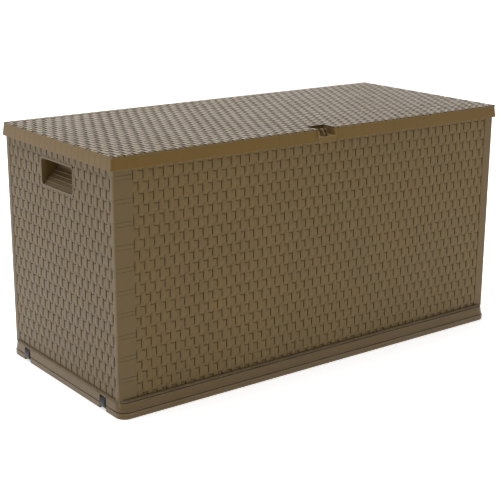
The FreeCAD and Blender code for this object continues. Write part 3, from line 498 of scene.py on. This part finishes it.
def growPiece(name, tree, values, material, place=None, start=None):
    # runs a tree on an object, keeps the result as a plain mesh, and drops the modifier
    holder = bpy.data.objects.new(name + "Holder", start or bpy.data.meshes.new(name + "Start"))
    scene.collection.objects.link(holder)
    modifier = holder.modifiers.new("grow", "NODES")
    modifier.node_group = tree
    known = {item.name: item.identifier for item in tree.interface.items_tree if item.in_out == "INPUT"}
    for title, value in values.items():
        modifier[known[title]] = value
    modifier[known["Material"]] = material
    bpy.context.view_layer.update()
    evaluated = holder.evaluated_get(bpy.context.evaluated_depsgraph_get())
    mesh = bpy.data.meshes.new_from_object(evaluated)
    mesh.name = name
    holder.modifiers.remove(modifier)
    bpy.data.objects.remove(holder)
    if place is not None:
        mesh.transform(place)
    mesh.materials.clear()
    mesh.materials.append(material)
    piece = bpy.data.objects.new(name, mesh)
    scene.collection.objects.link(piece)
    return piece


def standOn(right, up, origin):
    # matrix that lays a flat pattern on a face; its height points away from the object
    out = right.cross(up)
    turned = Matrix((right, up, out)).transposed().to_4x4()
    return Matrix.Translation(origin) @ turned


cutting = {
    "thin": 1e-7,                      # points this close to a cut count as on it
    "around": 0.03,                    # how far round an opening the faces are cut
    "sharpAngle": math.radians(38),
}


def trimOutside(bm, point, normal):
    # cuts away everything on the normal's side and closes the cut
    everything = bm.verts[:] + bm.edges[:] + bm.faces[:]
    found = bmesh.ops.bisect_plane(bm, geom=everything, dist=cutting["thin"],
                                   plane_co=point, plane_no=normal, clear_outer=True)
    edges = [e for e in found["geom_cut"] if isinstance(e, bmesh.types.BMEdge)]
    open_ = [e for e in edges if e.is_boundary]
    bmesh.ops.holes_fill(bm, edges=open_, sides=0)


def trimOpening(bm, corners, normal):
    # cuts a convex opening through the pattern, and closes what it cut
    count = len(corners)
    middle = sum(corners, Vector()) / count
    sides = []
    for i in range(count):
        a, b = corners[i], corners[(i + 1) % count]
        outward = (b - a).cross(normal).normalized()
        if outward.dot(middle - a) > 0:
            outward = -outward
        sides.append((a, outward))

    def within(place, margin):
        return all((place - a).dot(n) < margin for a, n in sides)

    near = [f for f in bm.faces if within(f.calc_center_median(), cutting["around"])]
    for point, outward in sides:
        edges = set(e for f in near for e in f.edges)
        verts = set(v for f in near for v in f.verts)
        bmesh.ops.bisect_plane(bm, geom=list(verts) + list(edges) + near, dist=cutting["thin"],
                               plane_co=point, plane_no=outward)
        near = [f for f in bm.faces if within(f.calc_center_median(), cutting["around"])]
    inside = [f for f in near if within(f.calc_center_median(), 0.0)]
    bmesh.ops.delete(bm, geom=inside, context="FACES")
    open_ = [e for e in bm.edges if e.is_boundary]
    bmesh.ops.holes_fill(bm, edges=open_, sides=0)


def trimPiece(piece, planes, openings=(), normal=None):
    bm = bmesh.new()
    bm.from_mesh(piece.data)
    for point, outward in planes:
        trimOutside(bm, Vector(point), Vector(outward))
    for corners in openings:
        trimOpening(bm, [Vector(c) for c in corners], Vector(normal))
    bmesh.ops.triangulate(bm, faces=[f for f in bm.faces if len(f.verts) > 4])
    bm.to_mesh(piece.data)
    bm.free()
    piece.data.set_sharp_from_angle(angle=cutting["sharpAngle"])


wallWeave = {
    "strandWidth": 0.0122,     # upright strand where it passes over
    "strandLength": 0.0345,
    "strandHeight": 0.0033,
    "flare": 0.10,             # extra width at a strand's ends, which closes the gaps there
    "endFall": 0.24,
    "crownFall": 0.17,
    "crossWidth": 0.0168,      # the strand that passes behind two upright ones
    "crossLength": 0.0178,
    "crossHeight": 0.0030,
    "crossFall": 0.80,
    "seat": 0.0008,            # how deep the strands stand in the panel
    "strandShift": 0.0011,     # towards the upper neighbour, which it tucks under
    "crossShift": 0.0024,      # away from the open slit
    "crossDrop": 0.0004,
    "looseness": 0.05,
    "endBend": 0.75,           # lower keeps a strand flat for longer before it dips
    "crossBend": 0.50,
}
topWeave = {
    "strandWidth": 0.0102, "strandLength": 0.0345, "strandHeight": 0.0034,
    "flare": 0.28, "endFall": 0.06, "crownFall": 0.08,
    "crossWidth": 0.0152, "crossLength": 0.0114, "crossHeight": 0.0033, "crossFall": 0.90, "seat": 0.0008,
    "strandShift": 0.0006, "crossShift": 0.0026, "crossDrop": 0.0004,
    "looseness": 0.03, "endBend": 0.75, "crossBend": 0.55,
}
strandTilt = (0.006, 0.006, 0.012)      # most that a strand is turned, either way


def makeWeaveTree():
    tree, given, out = newGroup("wovenRelief", "GeometryNodeTree", [
        ("Columns", "NodeSocketInt", 10),
        ("Rows", "NodeSocketInt", 10),
        ("Column Pitch", "NodeSocketFloat", 0.0132),
        ("Row Pitch", "NodeSocketFloat", 0.026),
        ("Strand Size", "NodeSocketVector", (0.0118, 0.03, 0.0033)),
        ("Cross Size", "NodeSocketVector", (0.0136, 0.024, 0.0025)),
        ("Seat", "NodeSocketFloat", 0.0008),
        ("Looseness", "NodeSocketFloat", 0.05),
        ("Flare", "NodeSocketFloat", 0.1),
        ("End Fall", "NodeSocketFloat", 0.3),
        ("Crown Fall", "NodeSocketFloat", 0.2),
        ("Cross Fall", "NodeSocketFloat", 0.8),
        ("End Bend", "NodeSocketFloat", 0.5),
        ("Cross Bend", "NodeSocketFloat", 0.4),
        ("Strand Shift", "NodeSocketVector", (0, 0.0013, 0)),
        ("Cross Shift", "NodeSocketVector", (-0.0009, -0.0009, 0)),
        ("Seed", "NodeSocketInt", 1),
        ("Material", "NodeSocketMaterial", None),
    ], [("Geometry", "NodeSocketGeometry")])
    columns, rows = given["Columns"], given["Rows"]
    grid = addNode(tree, "GeometryNodeMeshGrid")
    columnGaps, rowGaps = calc(tree, "SUBTRACT", columns, 1.0), calc(tree, "SUBTRACT", rows, 1.0)
    plug(tree, grid.inputs["Size X"], calc(tree, "MULTIPLY", columnGaps, given["Column Pitch"]))
    plug(tree, grid.inputs["Size Y"], calc(tree, "MULTIPLY", rowGaps, given["Row Pitch"]))
    plug(tree, grid.inputs["Vertices X"], columns)
    plug(tree, grid.inputs["Vertices Y"], rows)
    index = addNode(tree, "GeometryNodeInputIndex").outputs[0]
    column = calc(tree, "FLOOR", calc(tree, "DIVIDE", calc(tree, "ADD", index, 0.5), rows))
    row = calc(tree, "SUBTRACT", index, calc(tree, "MULTIPLY", column, rows))
    odd = calc(tree, "GREATER_THAN", calc(tree, "MODULO", calc(tree, "ADD", column, row), 2.0), 0.5)
    even = calc(tree, "SUBTRACT", 1.0, odd)

    def makeStrand(size, acrossX, acrossY):
        # a closed block, with u and v from 0 at its middle to 1 at its sides and ends
        block = addNode(tree, "GeometryNodeMeshCube")
        block.inputs["Size"].default_value = (1, 1, 1)
        block.inputs["Vertices X"].default_value = acrossX
        block.inputs["Vertices Y"].default_value = acrossY
        block.inputs["Vertices Z"].default_value = 2
        at = axesOf(tree, addNode(tree, "GeometryNodeInputPosition").outputs[0])
        full = axesOf(tree, size)
        u = calc(tree, "ABSOLUTE", calc(tree, "MULTIPLY", at[0], 2.0))
        v = calc(tree, "ABSOLUTE", calc(tree, "MULTIPLY", at[1], 2.0))
        isTop = calc(tree, "GREATER_THAN", at[2], 0.0)
        return block, at, full, u, v, isTop

    def gathered(value, bend):
        # moves the inner rows of points outwards, and keeps the two ends
        fromMiddle = calc(tree, "MULTIPLY", calc(tree, "ABSOLUTE", value), 2.0)
        return calc(tree, "MULTIPLY", calc(tree, "SIGN", value), calc(tree, "POWER", fromMiddle, bend))

    def shapeStrand(block, at, full, isTop, arch, bendX, bendY, shift, widen=None):
        # sizes the block, lifts its top to the arch and stands it in the seat
        rise = calc(tree, "MULTIPLY", arch, calc(tree, "ADD", full[2], given["Seat"]))
        z = calc(tree, "SUBTRACT", calc(tree, "MULTIPLY", rise, isTop), given["Seat"])
        place = addNode(tree, "ShaderNodeCombineXYZ")
        halfX = calc(tree, "MULTIPLY", full[0], 0.5)
        halfY = calc(tree, "MULTIPLY", full[1], 0.5)
        sideways = calc(tree, "MULTIPLY", gathered(at[0], bendX), halfX)
        if widen:
            sideways = calc(tree, "MULTIPLY", sideways, widen)
        plug(tree, place.inputs[0], sideways)
        plug(tree, place.inputs[1], calc(tree, "MULTIPLY", gathered(at[1], bendY), halfY))
        plug(tree, place.inputs[2], z)
        moved = addNode(tree, "GeometryNodeSetPosition")
        plug(tree, moved.inputs["Geometry"], block.outputs["Mesh"])
        plug(tree, moved.inputs["Position"], place.outputs[0])
        plug(tree, moved.inputs["Offset"], shift)
        return moved.outputs[0]

    def fallen(value, power, fall):
        # 1 at the middle and lower by the fall at the far end
        return calc(tree, "SUBTRACT", 1.0, calc(tree, "MULTIPLY", calc(tree, "POWER", value, power), fall))

    block, at, full, u, v, isTop = makeStrand(given["Strand Size"], 4, 6)
    along, across = fallen(v, 5.0, given["End Fall"]), fallen(u, 2.0, given["Crown Fall"])
    arch = calc(tree, "MULTIPLY", along, across)
    widen = calc(tree, "ADD", 1.0, calc(tree, "MULTIPLY", calc(tree, "POWER", v, 2.0), given["Flare"]))
    upright = shapeStrand(block, at, full, isTop, arch, 0.7, given["End Bend"], given["Strand Shift"], widen)

    block, at, full, u, v, isTop = makeStrand(given["Cross Size"], 6, 4)
    along, across = fallen(u, 6.0, given["Cross Fall"]), fallen(v, 2.0, given["Crown Fall"])
    arch = calc(tree, "MULTIPLY", along, across)
    cross = shapeStrand(block, at, full, isTop, arch, given["Cross Bend"], 0.7, given["Cross Shift"])

    joined = addNode(tree, "GeometryNodeJoinGeometry")
    for shape, chosen, seedShift in ((upright, odd, 0), (cross, even, 7)):
        tilt = addNode(tree, "FunctionNodeRandomValue", data_type="FLOAT_VECTOR")
        plug(tree, tilt.inputs[0], tuple(-angle for angle in strandTilt))
        plug(tree, tilt.inputs[1], strandTilt)
        plug(tree, tilt.inputs["Seed"], calc(tree, "ADD", given["Seed"], float(seedShift)))
        size = addNode(tree, "FunctionNodeRandomValue", data_type="FLOAT")
        plug(tree, size.inputs[2], calc(tree, "SUBTRACT", 1.0, given["Looseness"]))
        plug(tree, size.inputs[3], 1.0)
        plug(tree, size.inputs["Seed"], calc(tree, "ADD", given["Seed"], float(seedShift + 3)))
        stretch = addNode(tree, "ShaderNodeCombineXYZ")
        plug(tree, stretch.inputs[0], 1.0)
        plug(tree, stretch.inputs[1], 1.0)
        plug(tree, stretch.inputs[2], size.outputs[1])
        spread = addNode(tree, "GeometryNodeInstanceOnPoints")
        plug(tree, spread.inputs["Points"], grid.outputs["Mesh"])
        plug(tree, spread.inputs["Selection"], chosen)
        plug(tree, spread.inputs["Instance"], shape)
        plug(tree, spread.inputs["Rotation"], tilt.outputs[0])
        plug(tree, spread.inputs["Scale"], stretch.outputs[0])
        tree.links.new(spread.outputs[0], joined.inputs[0])
    real = addNode(tree, "GeometryNodeRealizeInstances")
    plug(tree, real.inputs[0], joined.outputs[0])
    smooth = addNode(tree, "GeometryNodeSetShadeSmooth")
    plug(tree, smooth.inputs[0], real.outputs[0])
    painted = addNode(tree, "GeometryNodeSetMaterial")
    plug(tree, painted.inputs["Geometry"], smooth.outputs[0])
    plug(tree, painted.inputs["Material"], given["Material"])
    plug(tree, out["Geometry"], painted.outputs[0])
    return tree


weaveTree = makeWeaveTree()


def weavePanel(name, size, pitch, place, material, seed, slitSide=1, pattern=wallWeave):
    p = pattern
    values = {
        "Columns": math.ceil(size[0] / pitch[0]) + 1, "Rows": math.ceil(size[1] / pitch[1]) + 1,
        "Column Pitch": pitch[0], "Row Pitch": pitch[1],
        "Strand Size": (p["strandWidth"], p["strandLength"], p["strandHeight"]),
        "Cross Size": (p["crossWidth"], p["crossLength"], p["crossHeight"]),
        "Flare": p["flare"], "End Fall": p["endFall"],
        "Crown Fall": p["crownFall"], "Cross Fall": p["crossFall"],
        "Seat": p["seat"], "Looseness": p["looseness"],
        "End Bend": p["endBend"], "Cross Bend": p["crossBend"], "Seed": seed,
        "Strand Shift": (0.0, p["strandShift"], 0.0),
        "Cross Shift": (-slitSide * p["crossShift"], -p["crossDrop"], 0.0),
    }
    return growPiece(name, weaveTree, values, material, place)


def rectangle(axisA, a0, a1, axisB, b0, b1):
    corners = []
    for a, b in ((a0, b0), (a1, b0), (a1, b1), (a0, b1)):
        corner = [0.0, 0.0, 0.0]
        corner["XYZ".index(axisA)] = a
        corner["XYZ".index(axisB)] = b
        corners.append(corner)
    return corners


opening = {
    "notchHalf": 0.0305, "notchBottom": 0.583,       # below the padlock eye
    "scoopRadius": 0.0185, "scoopMiddle": 0.5875,    # for a finger under the lid's lip
    "scoopCorners": 16,
    "padHalf": 0.037, "padBottom": 0.509,            # round the hinge leaves
    "padPlaces": (-0.43, 0.0, 0.43),
    "aboveField": 0.6,                               # past the top of the woven fields
    "gripHalf": 0.0775, "gripBottom": 0.4845, "gripTop": 0.5525,
    "recessHalf": 0.0256, "recessFront": -0.28, "recessBack": -0.2209,      # in the lid
}
right, forward, up = Vector((1, 0, 0)), Vector((0, 1, 0)), Vector((0, 0, 1))
bottom, top = wallField["bottom"], wallField["top"]
middle, tall = (bottom + top) / 2, top - bottom
long, offset = wide + narrow, (narrow - wide) / 2
wallPlanes = [((0, 0, bottom), (0, 0, -1)), ((0, 0, top), (0, 0, 1))]
endPlanes = wallPlanes + [((0, -endHalf, 0), (0, -1, 0)), ((0, endHalf, 0), (0, 1, 0))]


def scoopOutline():
    radius, height = opening["scoopRadius"], opening["scoopMiddle"]
    count = opening["scoopCorners"]
    angles = [step * math.pi / (count / 2) for step in range(count)]
    return [(radius * math.cos(angle), 0, height + radius * math.sin(angle)) for angle in angles]


def longWeave(name, sign, material, seed, openings):
    # sign is 1 for the front and -1 for the back, which is the front turned half round
    place = standOn(right * sign, up, (sign * offset, -sign * wallField["frontFace"], middle))
    piece = weavePanel(name, (long, tall), wallField["pitch"], place, material, seed)
    planes = wallPlanes + [((sign * narrow, 0, 0), (sign, 0, 0)), ((-sign * wide, 0, 0), (-sign, 0, 0))]
    trimPiece(piece, planes, openings, (0, 1, 0))
    return piece


notch = rectangle("X", -opening["notchHalf"], opening["notchHalf"],
                  "Z", opening["notchBottom"], opening["aboveField"])
frontPiece = longWeave("front_weave", 1, frontWeave, 3, [notch, scoopOutline()])
hingePads = [rectangle("X", x - opening["padHalf"], x + opening["padHalf"],
                       "Z", opening["padBottom"], opening["aboveField"]) for x in opening["padPlaces"]]
backPiece = longWeave("back_weave", -1, backWeave, 11, hingePads)

grip = rectangle("Y", -opening["gripHalf"], opening["gripHalf"],
                 "Z", opening["gripBottom"], opening["gripTop"])
for side, sign in (("left", -1), ("right", 1)):
    place = standOn(forward * sign, up, (sign * wallField["endFace"], 0, middle))
    endPiece = weavePanel(side + "_end_weave", (2 * endHalf, tall), wallField["endPitch"], place,
                          endWeave, 21 + sign, sign)
    trimPiece(endPiece, endPlanes, [grip], (1, 0, 0))
    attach(endPiece, "box")
for piece in (frontPiece, backPiece):
    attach(piece, "box")

lidHalf, lidFront, lidBack = lidField["halfLength"], lidField["front"], lidField["back"]
lidPlace = standOn(right, forward, (0, (lidBack + lidFront) / 2, lidField["face"]))
lidPiece = weavePanel("lid_weave", (2 * lidHalf, lidBack - lidFront), lidField["pitch"], lidPlace,
                      lidWeave, 31, pattern=topWeave)
recess = rectangle("X", -opening["recessHalf"], opening["recessHalf"],
                   "Y", opening["recessFront"], opening["recessBack"])
trimPiece(lidPiece, [((0, lidFront, 0), (0, -1, 0)), ((0, lidBack, 0), (0, 1, 0)),
                     ((-lidHalf, 0, 0), (-1, 0, 0)), ((lidHalf, 0, 0), (1, 0, 0))],
          [recess], (0, 0, 1))
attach(lidPiece, "lid")
print("woven relief:", sum(len(o.data.polygons) for o in (frontPiece, backPiece, lidPiece)), "faces")


def finishCopies(tree, given, out, points, rotation=None):
    # one copy of the given piece on each point, made real and given the material
    spread = addNode(tree, "GeometryNodeInstanceOnPoints")
    plug(tree, spread.inputs["Points"], points)
    plug(tree, spread.inputs["Instance"], given["Geometry"])
    if rotation is not None:
        plug(tree, spread.inputs["Rotation"], rotation)
    real = addNode(tree, "GeometryNodeRealizeInstances")
    plug(tree, real.inputs[0], spread.outputs[0])
    painted = addNode(tree, "GeometryNodeSetMaterial")
    plug(tree, painted.inputs["Geometry"], real.outputs[0])
    plug(tree, painted.inputs["Material"], given["Material"])
    plug(tree, out["Geometry"], painted.outputs[0])


def makeRowTree():
    # copies the given piece along a line
    tree, given, out = newGroup("copiesInRow", "GeometryNodeTree", [
        ("Geometry", "NodeSocketGeometry", None),
        ("Count", "NodeSocketInt", 4),
        ("Step", "NodeSocketVector", (0, 0, 0.05)),
        ("Material", "NodeSocketMaterial", None),
    ], [("Geometry", "NodeSocketGeometry")])
    line = addNode(tree, "GeometryNodeMeshLine", mode="OFFSET")
    plug(tree, line.inputs["Count"], given["Count"])
    plug(tree, line.inputs["Offset"], given["Step"])
    finishCopies(tree, given, out, line.outputs[0])
    return tree


def makeRingTree():
    # copies the given piece round an axle along Y
    tree, given, out = newGroup("copiesInRing", "GeometryNodeTree", [
        ("Geometry", "NodeSocketGeometry", None),
        ("Count", "NodeSocketInt", 24),
        ("Material", "NodeSocketMaterial", None),
    ], [("Geometry", "NodeSocketGeometry")])
    line = addNode(tree, "GeometryNodeMeshLine", mode="OFFSET")
    plug(tree, line.inputs["Count"], given["Count"])
    line.inputs["Offset"].default_value = (0, 0, 0)
    index = addNode(tree, "GeometryNodeInputIndex").outputs[0]
    turn = calc(tree, "MULTIPLY", calc(tree, "DIVIDE", index, given["Count"]), 2 * math.pi)
    rotation = addNode(tree, "ShaderNodeCombineXYZ")
    plug(tree, rotation.inputs[1], turn)
    finishCopies(tree, given, out, line.outputs[0], rotation.outputs[0])
    return tree


rowTree = makeRowTree()
ringTree = makeRingTree()


def prismMesh(name, levels):
    # a closed prism from its outlines, listed upwards as (height, points)
    mesh = bpy.data.meshes.new(name)
    bm = bmesh.new()
    rings = [[bm.verts.new((x, y, height)) for x, y in points] for height, points in levels]
    count = len(rings[0])
    for low, high in zip(rings, rings[1:]):
        for i in range(count):
            j = (i + 1) % count
            bm.faces.new((low[i], low[j], high[j], high[i]))
    bm.faces.new(list(reversed(rings[0])))
    bm.faces.new(rings[-1])
    bmesh.ops.recalc_face_normals(bm, faces=bm.faces[:])
    bm.to_mesh(mesh)
    bm.free()
    return mesh


cornerBand = {
    "tall": 0.0415, "short": 0.0085, "groove": 0.001, "period": 0.052, "first": 0.0440, "count": 10,
    "proud": 0.0007, "sunk": 0.002, "width": 0.0480, "wrap": 0.0120, "lip": 0.0008, "corner": 0.004,
    "cornerSteps": 5,
}


def bandOutline(proud):
    # L-shaped band round the corner at the low X, low Y end, anticlockwise
    c = cornerBand
    x0, y0 = -wallField["endCrown"], -wallField["frontCrown"]
    radius = c["corner"]
    points = [(x0 - proud, y0 + c["wrap"]), (x0 - proud, y0 + radius)]
    for step in range(1, c["cornerSteps"]):
        angle = math.pi + step * math.pi / (2 * c["cornerSteps"])
        points.append((x0 + radius + (radius + proud) * math.cos(angle),
                       y0 + radius + (radius + proud) * math.sin(angle)))
    points += [(x0 + radius, y0 - proud), (x0 + c["width"], y0 - proud)]
    points += [(x0 + c["width"], y0 + c["sunk"]), (x0 + c["sunk"], y0 + c["sunk"]),
               (x0 + c["sunk"], y0 + c["wrap"])]
    return points


def bandMesh(height):
    lip = cornerBand["lip"]
    flat, full = bandOutline(0.0), bandOutline(cornerBand["proud"])
    return prismMesh("band", [(0.0, flat), (lip, full), (height - lip, full), (height, flat)])


def mirrored(mesh, sx, sy):
    # a mirrored copy keeps its faces outward
    copy = mesh.copy()
    copy.transform(Matrix.Diagonal((sx, sy, 1, 1)))
    if sx * sy < 0:
        copy.flip_normals()
    return copy


def joinMeshes(name, meshes, material):
    bm = bmesh.new()
    for mesh in meshes:
        bm.from_mesh(mesh)
    joined = bpy.data.meshes.new(name)
    bm.to_mesh(joined)
    bm.free()
    joined.materials.append(material)
    piece = bpy.data.objects.new(name, joined)
    scene.collection.objects.link(piece)
    return piece


c = cornerBand
for cornerName, sx, sy in (("front_left", 1, 1), ("back_right", -1, -1)):
    runs = []
    for size, lift in ((c["tall"], 0.0), (c["short"], c["tall"] + c["groove"])):
        band = mirrored(bandMesh(size), sx, sy)
        run = growPiece("bandRun", rowTree, {"Count": c["count"], "Step": (0, 0, c["period"])}, panelResin,
                        Matrix.Translation((0, 0, c["first"] + lift)), band)
        runs.append(run.data)
        bpy.data.objects.remove(run)
    piece = joinMeshes("corner_bands_" + cornerName, runs, panelResin)
    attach(piece, "box")
print("corner bands ready")

gripRib = {
    "halfWidth": 0.0735, "thick": 0.0014, "tall": 0.0032, "sunk": 0.0006, "wall": 0.5485,
    "back": 3, "backStep": 0.0075, "backBottom": 0.5290,
    "slope": 4, "slopeTop": 0.524, "slopeRun": 0.042, "slopeDrop": 0.037, "slopeStart": 0.2,
}
ribProfile = [(0, -0.5), (-0.45, -0.42), (-0.9, -0.2), (-1.0, 0.0), (-0.9, 0.2), (-0.45, 0.42), (0, 0.5)]


def ribMesh():
    # a low rounded bar along Y, its flat side a little past x = 0 and its crown towards -X
    r = gripRib
    profile = [(out * r["thick"] if out else r["sunk"], along * r["tall"]) for out, along in ribProfile]
    mesh = bpy.data.meshes.new("rib")
    bm = bmesh.new()
    rings = []
    for y in (-r["halfWidth"], r["halfWidth"]):
        rings.append([bm.verts.new((x, y, z)) for x, z in profile])
    count = len(profile)
    for i in range(count):
        j = (i + 1) % count
        bm.faces.new((rings[0][i], rings[0][j], rings[1][j], rings[1][i]))
    bm.faces.new(rings[0])
    bm.faces.new(list(reversed(rings[1])))
    bmesh.ops.recalc_face_normals(bm, faces=bm.faces[:])
    bm.to_mesh(mesh)
    bm.free()
    return mesh


r = gripRib
slopeWay = Vector((-r["slopeRun"], 0, -r["slopeDrop"]))
slopeTurn = Matrix.Rotation(math.atan2(r["slopeRun"], r["slopeDrop"]), 4, "Y")
backPlace = Matrix.Translation((-r["wall"], 0, r["backBottom"]))
slopePlace = Matrix.Translation(Vector((-r["wall"], 0, r["slopeTop"])) + slopeWay * r["slopeStart"])
for side, sign in (("left", 1), ("right", -1)):
    backRibs = growPiece("ribs", rowTree, {"Count": r["back"], "Step": (0, 0, r["backStep"])}, panelResin,
                         backPlace, ribMesh())
    slopeMesh = ribMesh()
    slopeMesh.transform(slopeTurn)
    slopeRibs = growPiece("ribs", rowTree, {"Count": r["slope"], "Step": slopeWay / (r["slope"] + 1)},
                          panelResin, slopePlace, slopeMesh)
    ribs = [mirrored(run.data, sign, 1) for run in (backRibs, slopeRibs)]
    piece = joinMeshes("grip_ribs_" + side, ribs, panelResin)
    bpy.data.objects.remove(backRibs)
    bpy.data.objects.remove(slopeRibs)
    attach(piece, "box")
print("grip ribs ready")

tread = {
    "count": 24, "radius": 0.0158, "proud": 0.0005, "sunk": 0.0008, "shoulder": 0.0003,
    "width": 0.0018, "halfLength": 0.0105, "crownWidth": 0.6, "crownLength": 0.95,
    "centreX": -0.5855, "centreZ": 0.017, "spread": 0.19,
}


def treadMesh():
    # a bar along Y that stands on the wheel, a little narrower at its crown
    t = tread
    w, h, crown = t["width"] / 2, t["halfLength"], t["radius"] + t["proud"]
    corners = ((-w, -h), (w, -h), (w, h), (-w, h))
    narrower = [(x * t["crownWidth"], y * t["crownLength"]) for x, y in corners]
    return prismMesh("tread", [(t["radius"] - t["sunk"], corners), (crown - t["shoulder"], corners),
                               (crown, narrower)])


for wheel, sign in (("wheel_front", -1), ("wheel_rear", 1)):
    place = Matrix.Translation((tread["centreX"], sign * tread["spread"], tread["centreZ"]))
    piece = growPiece(wheel + "_treads", ringTree, {"Count": tread["count"]}, wheelBlack, place,
                      treadMesh())
    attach(piece, wheel)
print("wheel treads ready")

studio = {
    "floorColour": (0.93, 0.93, 0.93, 1), "floorSpeck": (0.95, 0.95, 0.95, 1), "floorGlow": 0.62,
    "floorHalf": 60.0, "floorDrop": 0.0005,
    "worldFront": 0.235, "worldBack": 0.65, "worldWay": (0.5, 0.87, 0.0), "worldFade": (-0.6, 0.7),
}
softboxes = (
    # name, power, size, place, what it is aimed at
    ("topSoftbox", 90.0, (3.5, 3.0), (-0.4, 0.6, 3.4), (0, 0, 0.3)),
    ("backSoftbox", 48.0, (4.5, 1.6), (2.0, 3.3, 1.5), (0.2, 0, 0.6)),
    ("leftSoftbox", 0.8, (2.0, 2.0), (-3.8, 0.2, 1.4), (-0.5, 0, 0.3)),
)


def makeFloor():
    mesh = bpy.data.meshes.new("studioFloor")
    bm = bmesh.new()
    bmesh.ops.create_grid(bm, x_segments=1, y_segments=1, size=studio["floorHalf"])
    bm.to_mesh(mesh)
    bm.free()
    material, tree, shader, where = newFinish("paleFloor")
    speck = noiseAt(tree, where, 3.0)
    tone = blendColours(tree, speck, studio["floorColour"], studio["floorSpeck"])
    plug(tree, shader.inputs["Base Color"], tone)
    shader.inputs["Roughness"].default_value = 0.9
    shader.inputs["Specular IOR Level"].default_value = 0.1
    shader.inputs["Emission Color"].default_value = (1, 1, 1, 1)
    shader.inputs["Emission Strength"].default_value = studio["floorGlow"]
    mesh.materials.append(material)
    floor = bpy.data.objects.new("studioFloor", mesh)
    floor.location.z = -studio["floorDrop"]
    scene.collection.objects.link(floor)


def addSoftbox(name, power, size, place, target):
    light = bpy.data.lights.new(name, "AREA")
    light.shape = "RECTANGLE"
    light.size, light.size_y = size
    light.energy = power
    holder = bpy.data.objects.new(name, light)
    holder.location = place
    holder.rotation_euler = (Vector(target) - Vector(place)).to_track_quat("-Z", "Y").to_euler()
    holder.visible_camera = False
    scene.collection.objects.link(holder)


makeFloor()
world = bpy.data.worlds.new("studioWorld")
world.use_nodes = True
sky = world.node_tree
backdrop = sky.nodes["Background"]
backdrop.inputs[0].default_value = (1.0, 1.0, 1.0, 1)
toBack = addNode(sky, "ShaderNodeVectorMath", operation="DOT_PRODUCT")
plug(sky, toBack.inputs[0], addNode(sky, "ShaderNodeTexCoord").outputs["Generated"])
toBack.inputs[1].default_value = studio["worldWay"]
glow = rampBetween(sky, toBack.outputs["Value"], *studio["worldFade"],
                   studio["worldFront"], studio["worldBack"])
plug(sky, backdrop.inputs[1], glow)
scene.world = world
for softbox in softboxes:
    addSoftbox(*softbox)
scene.view_settings.view_transform = "Standard"

view = {
    "place": (-1.8627, -2.4390, 1.1259), "turn": -0.6439, "tip": -0.2813, "roll": -0.0050,
    "lens": 86.1, "sensor": 36.0, "farthest": 100.0,
}
camera = bpy.data.cameras.new("camera")
camera.lens = view["lens"]
camera.sensor_width = view["sensor"]
camera.clip_end = view["farthest"]
eye = bpy.data.objects.new("camera", camera)
aim = (Matrix.Rotation(view["turn"], 4, "Z") @ Matrix.Rotation(view["tip"], 4, "X")
       @ Matrix.Rotation(view["roll"], 4, "Y") @ Matrix.Rotation(math.pi / 2, 4, "X"))
eye.matrix_world = Matrix.Translation(view["place"]) @ aim
scene.collection.objects.link(eye)
scene.camera = eye
print("studio ready")
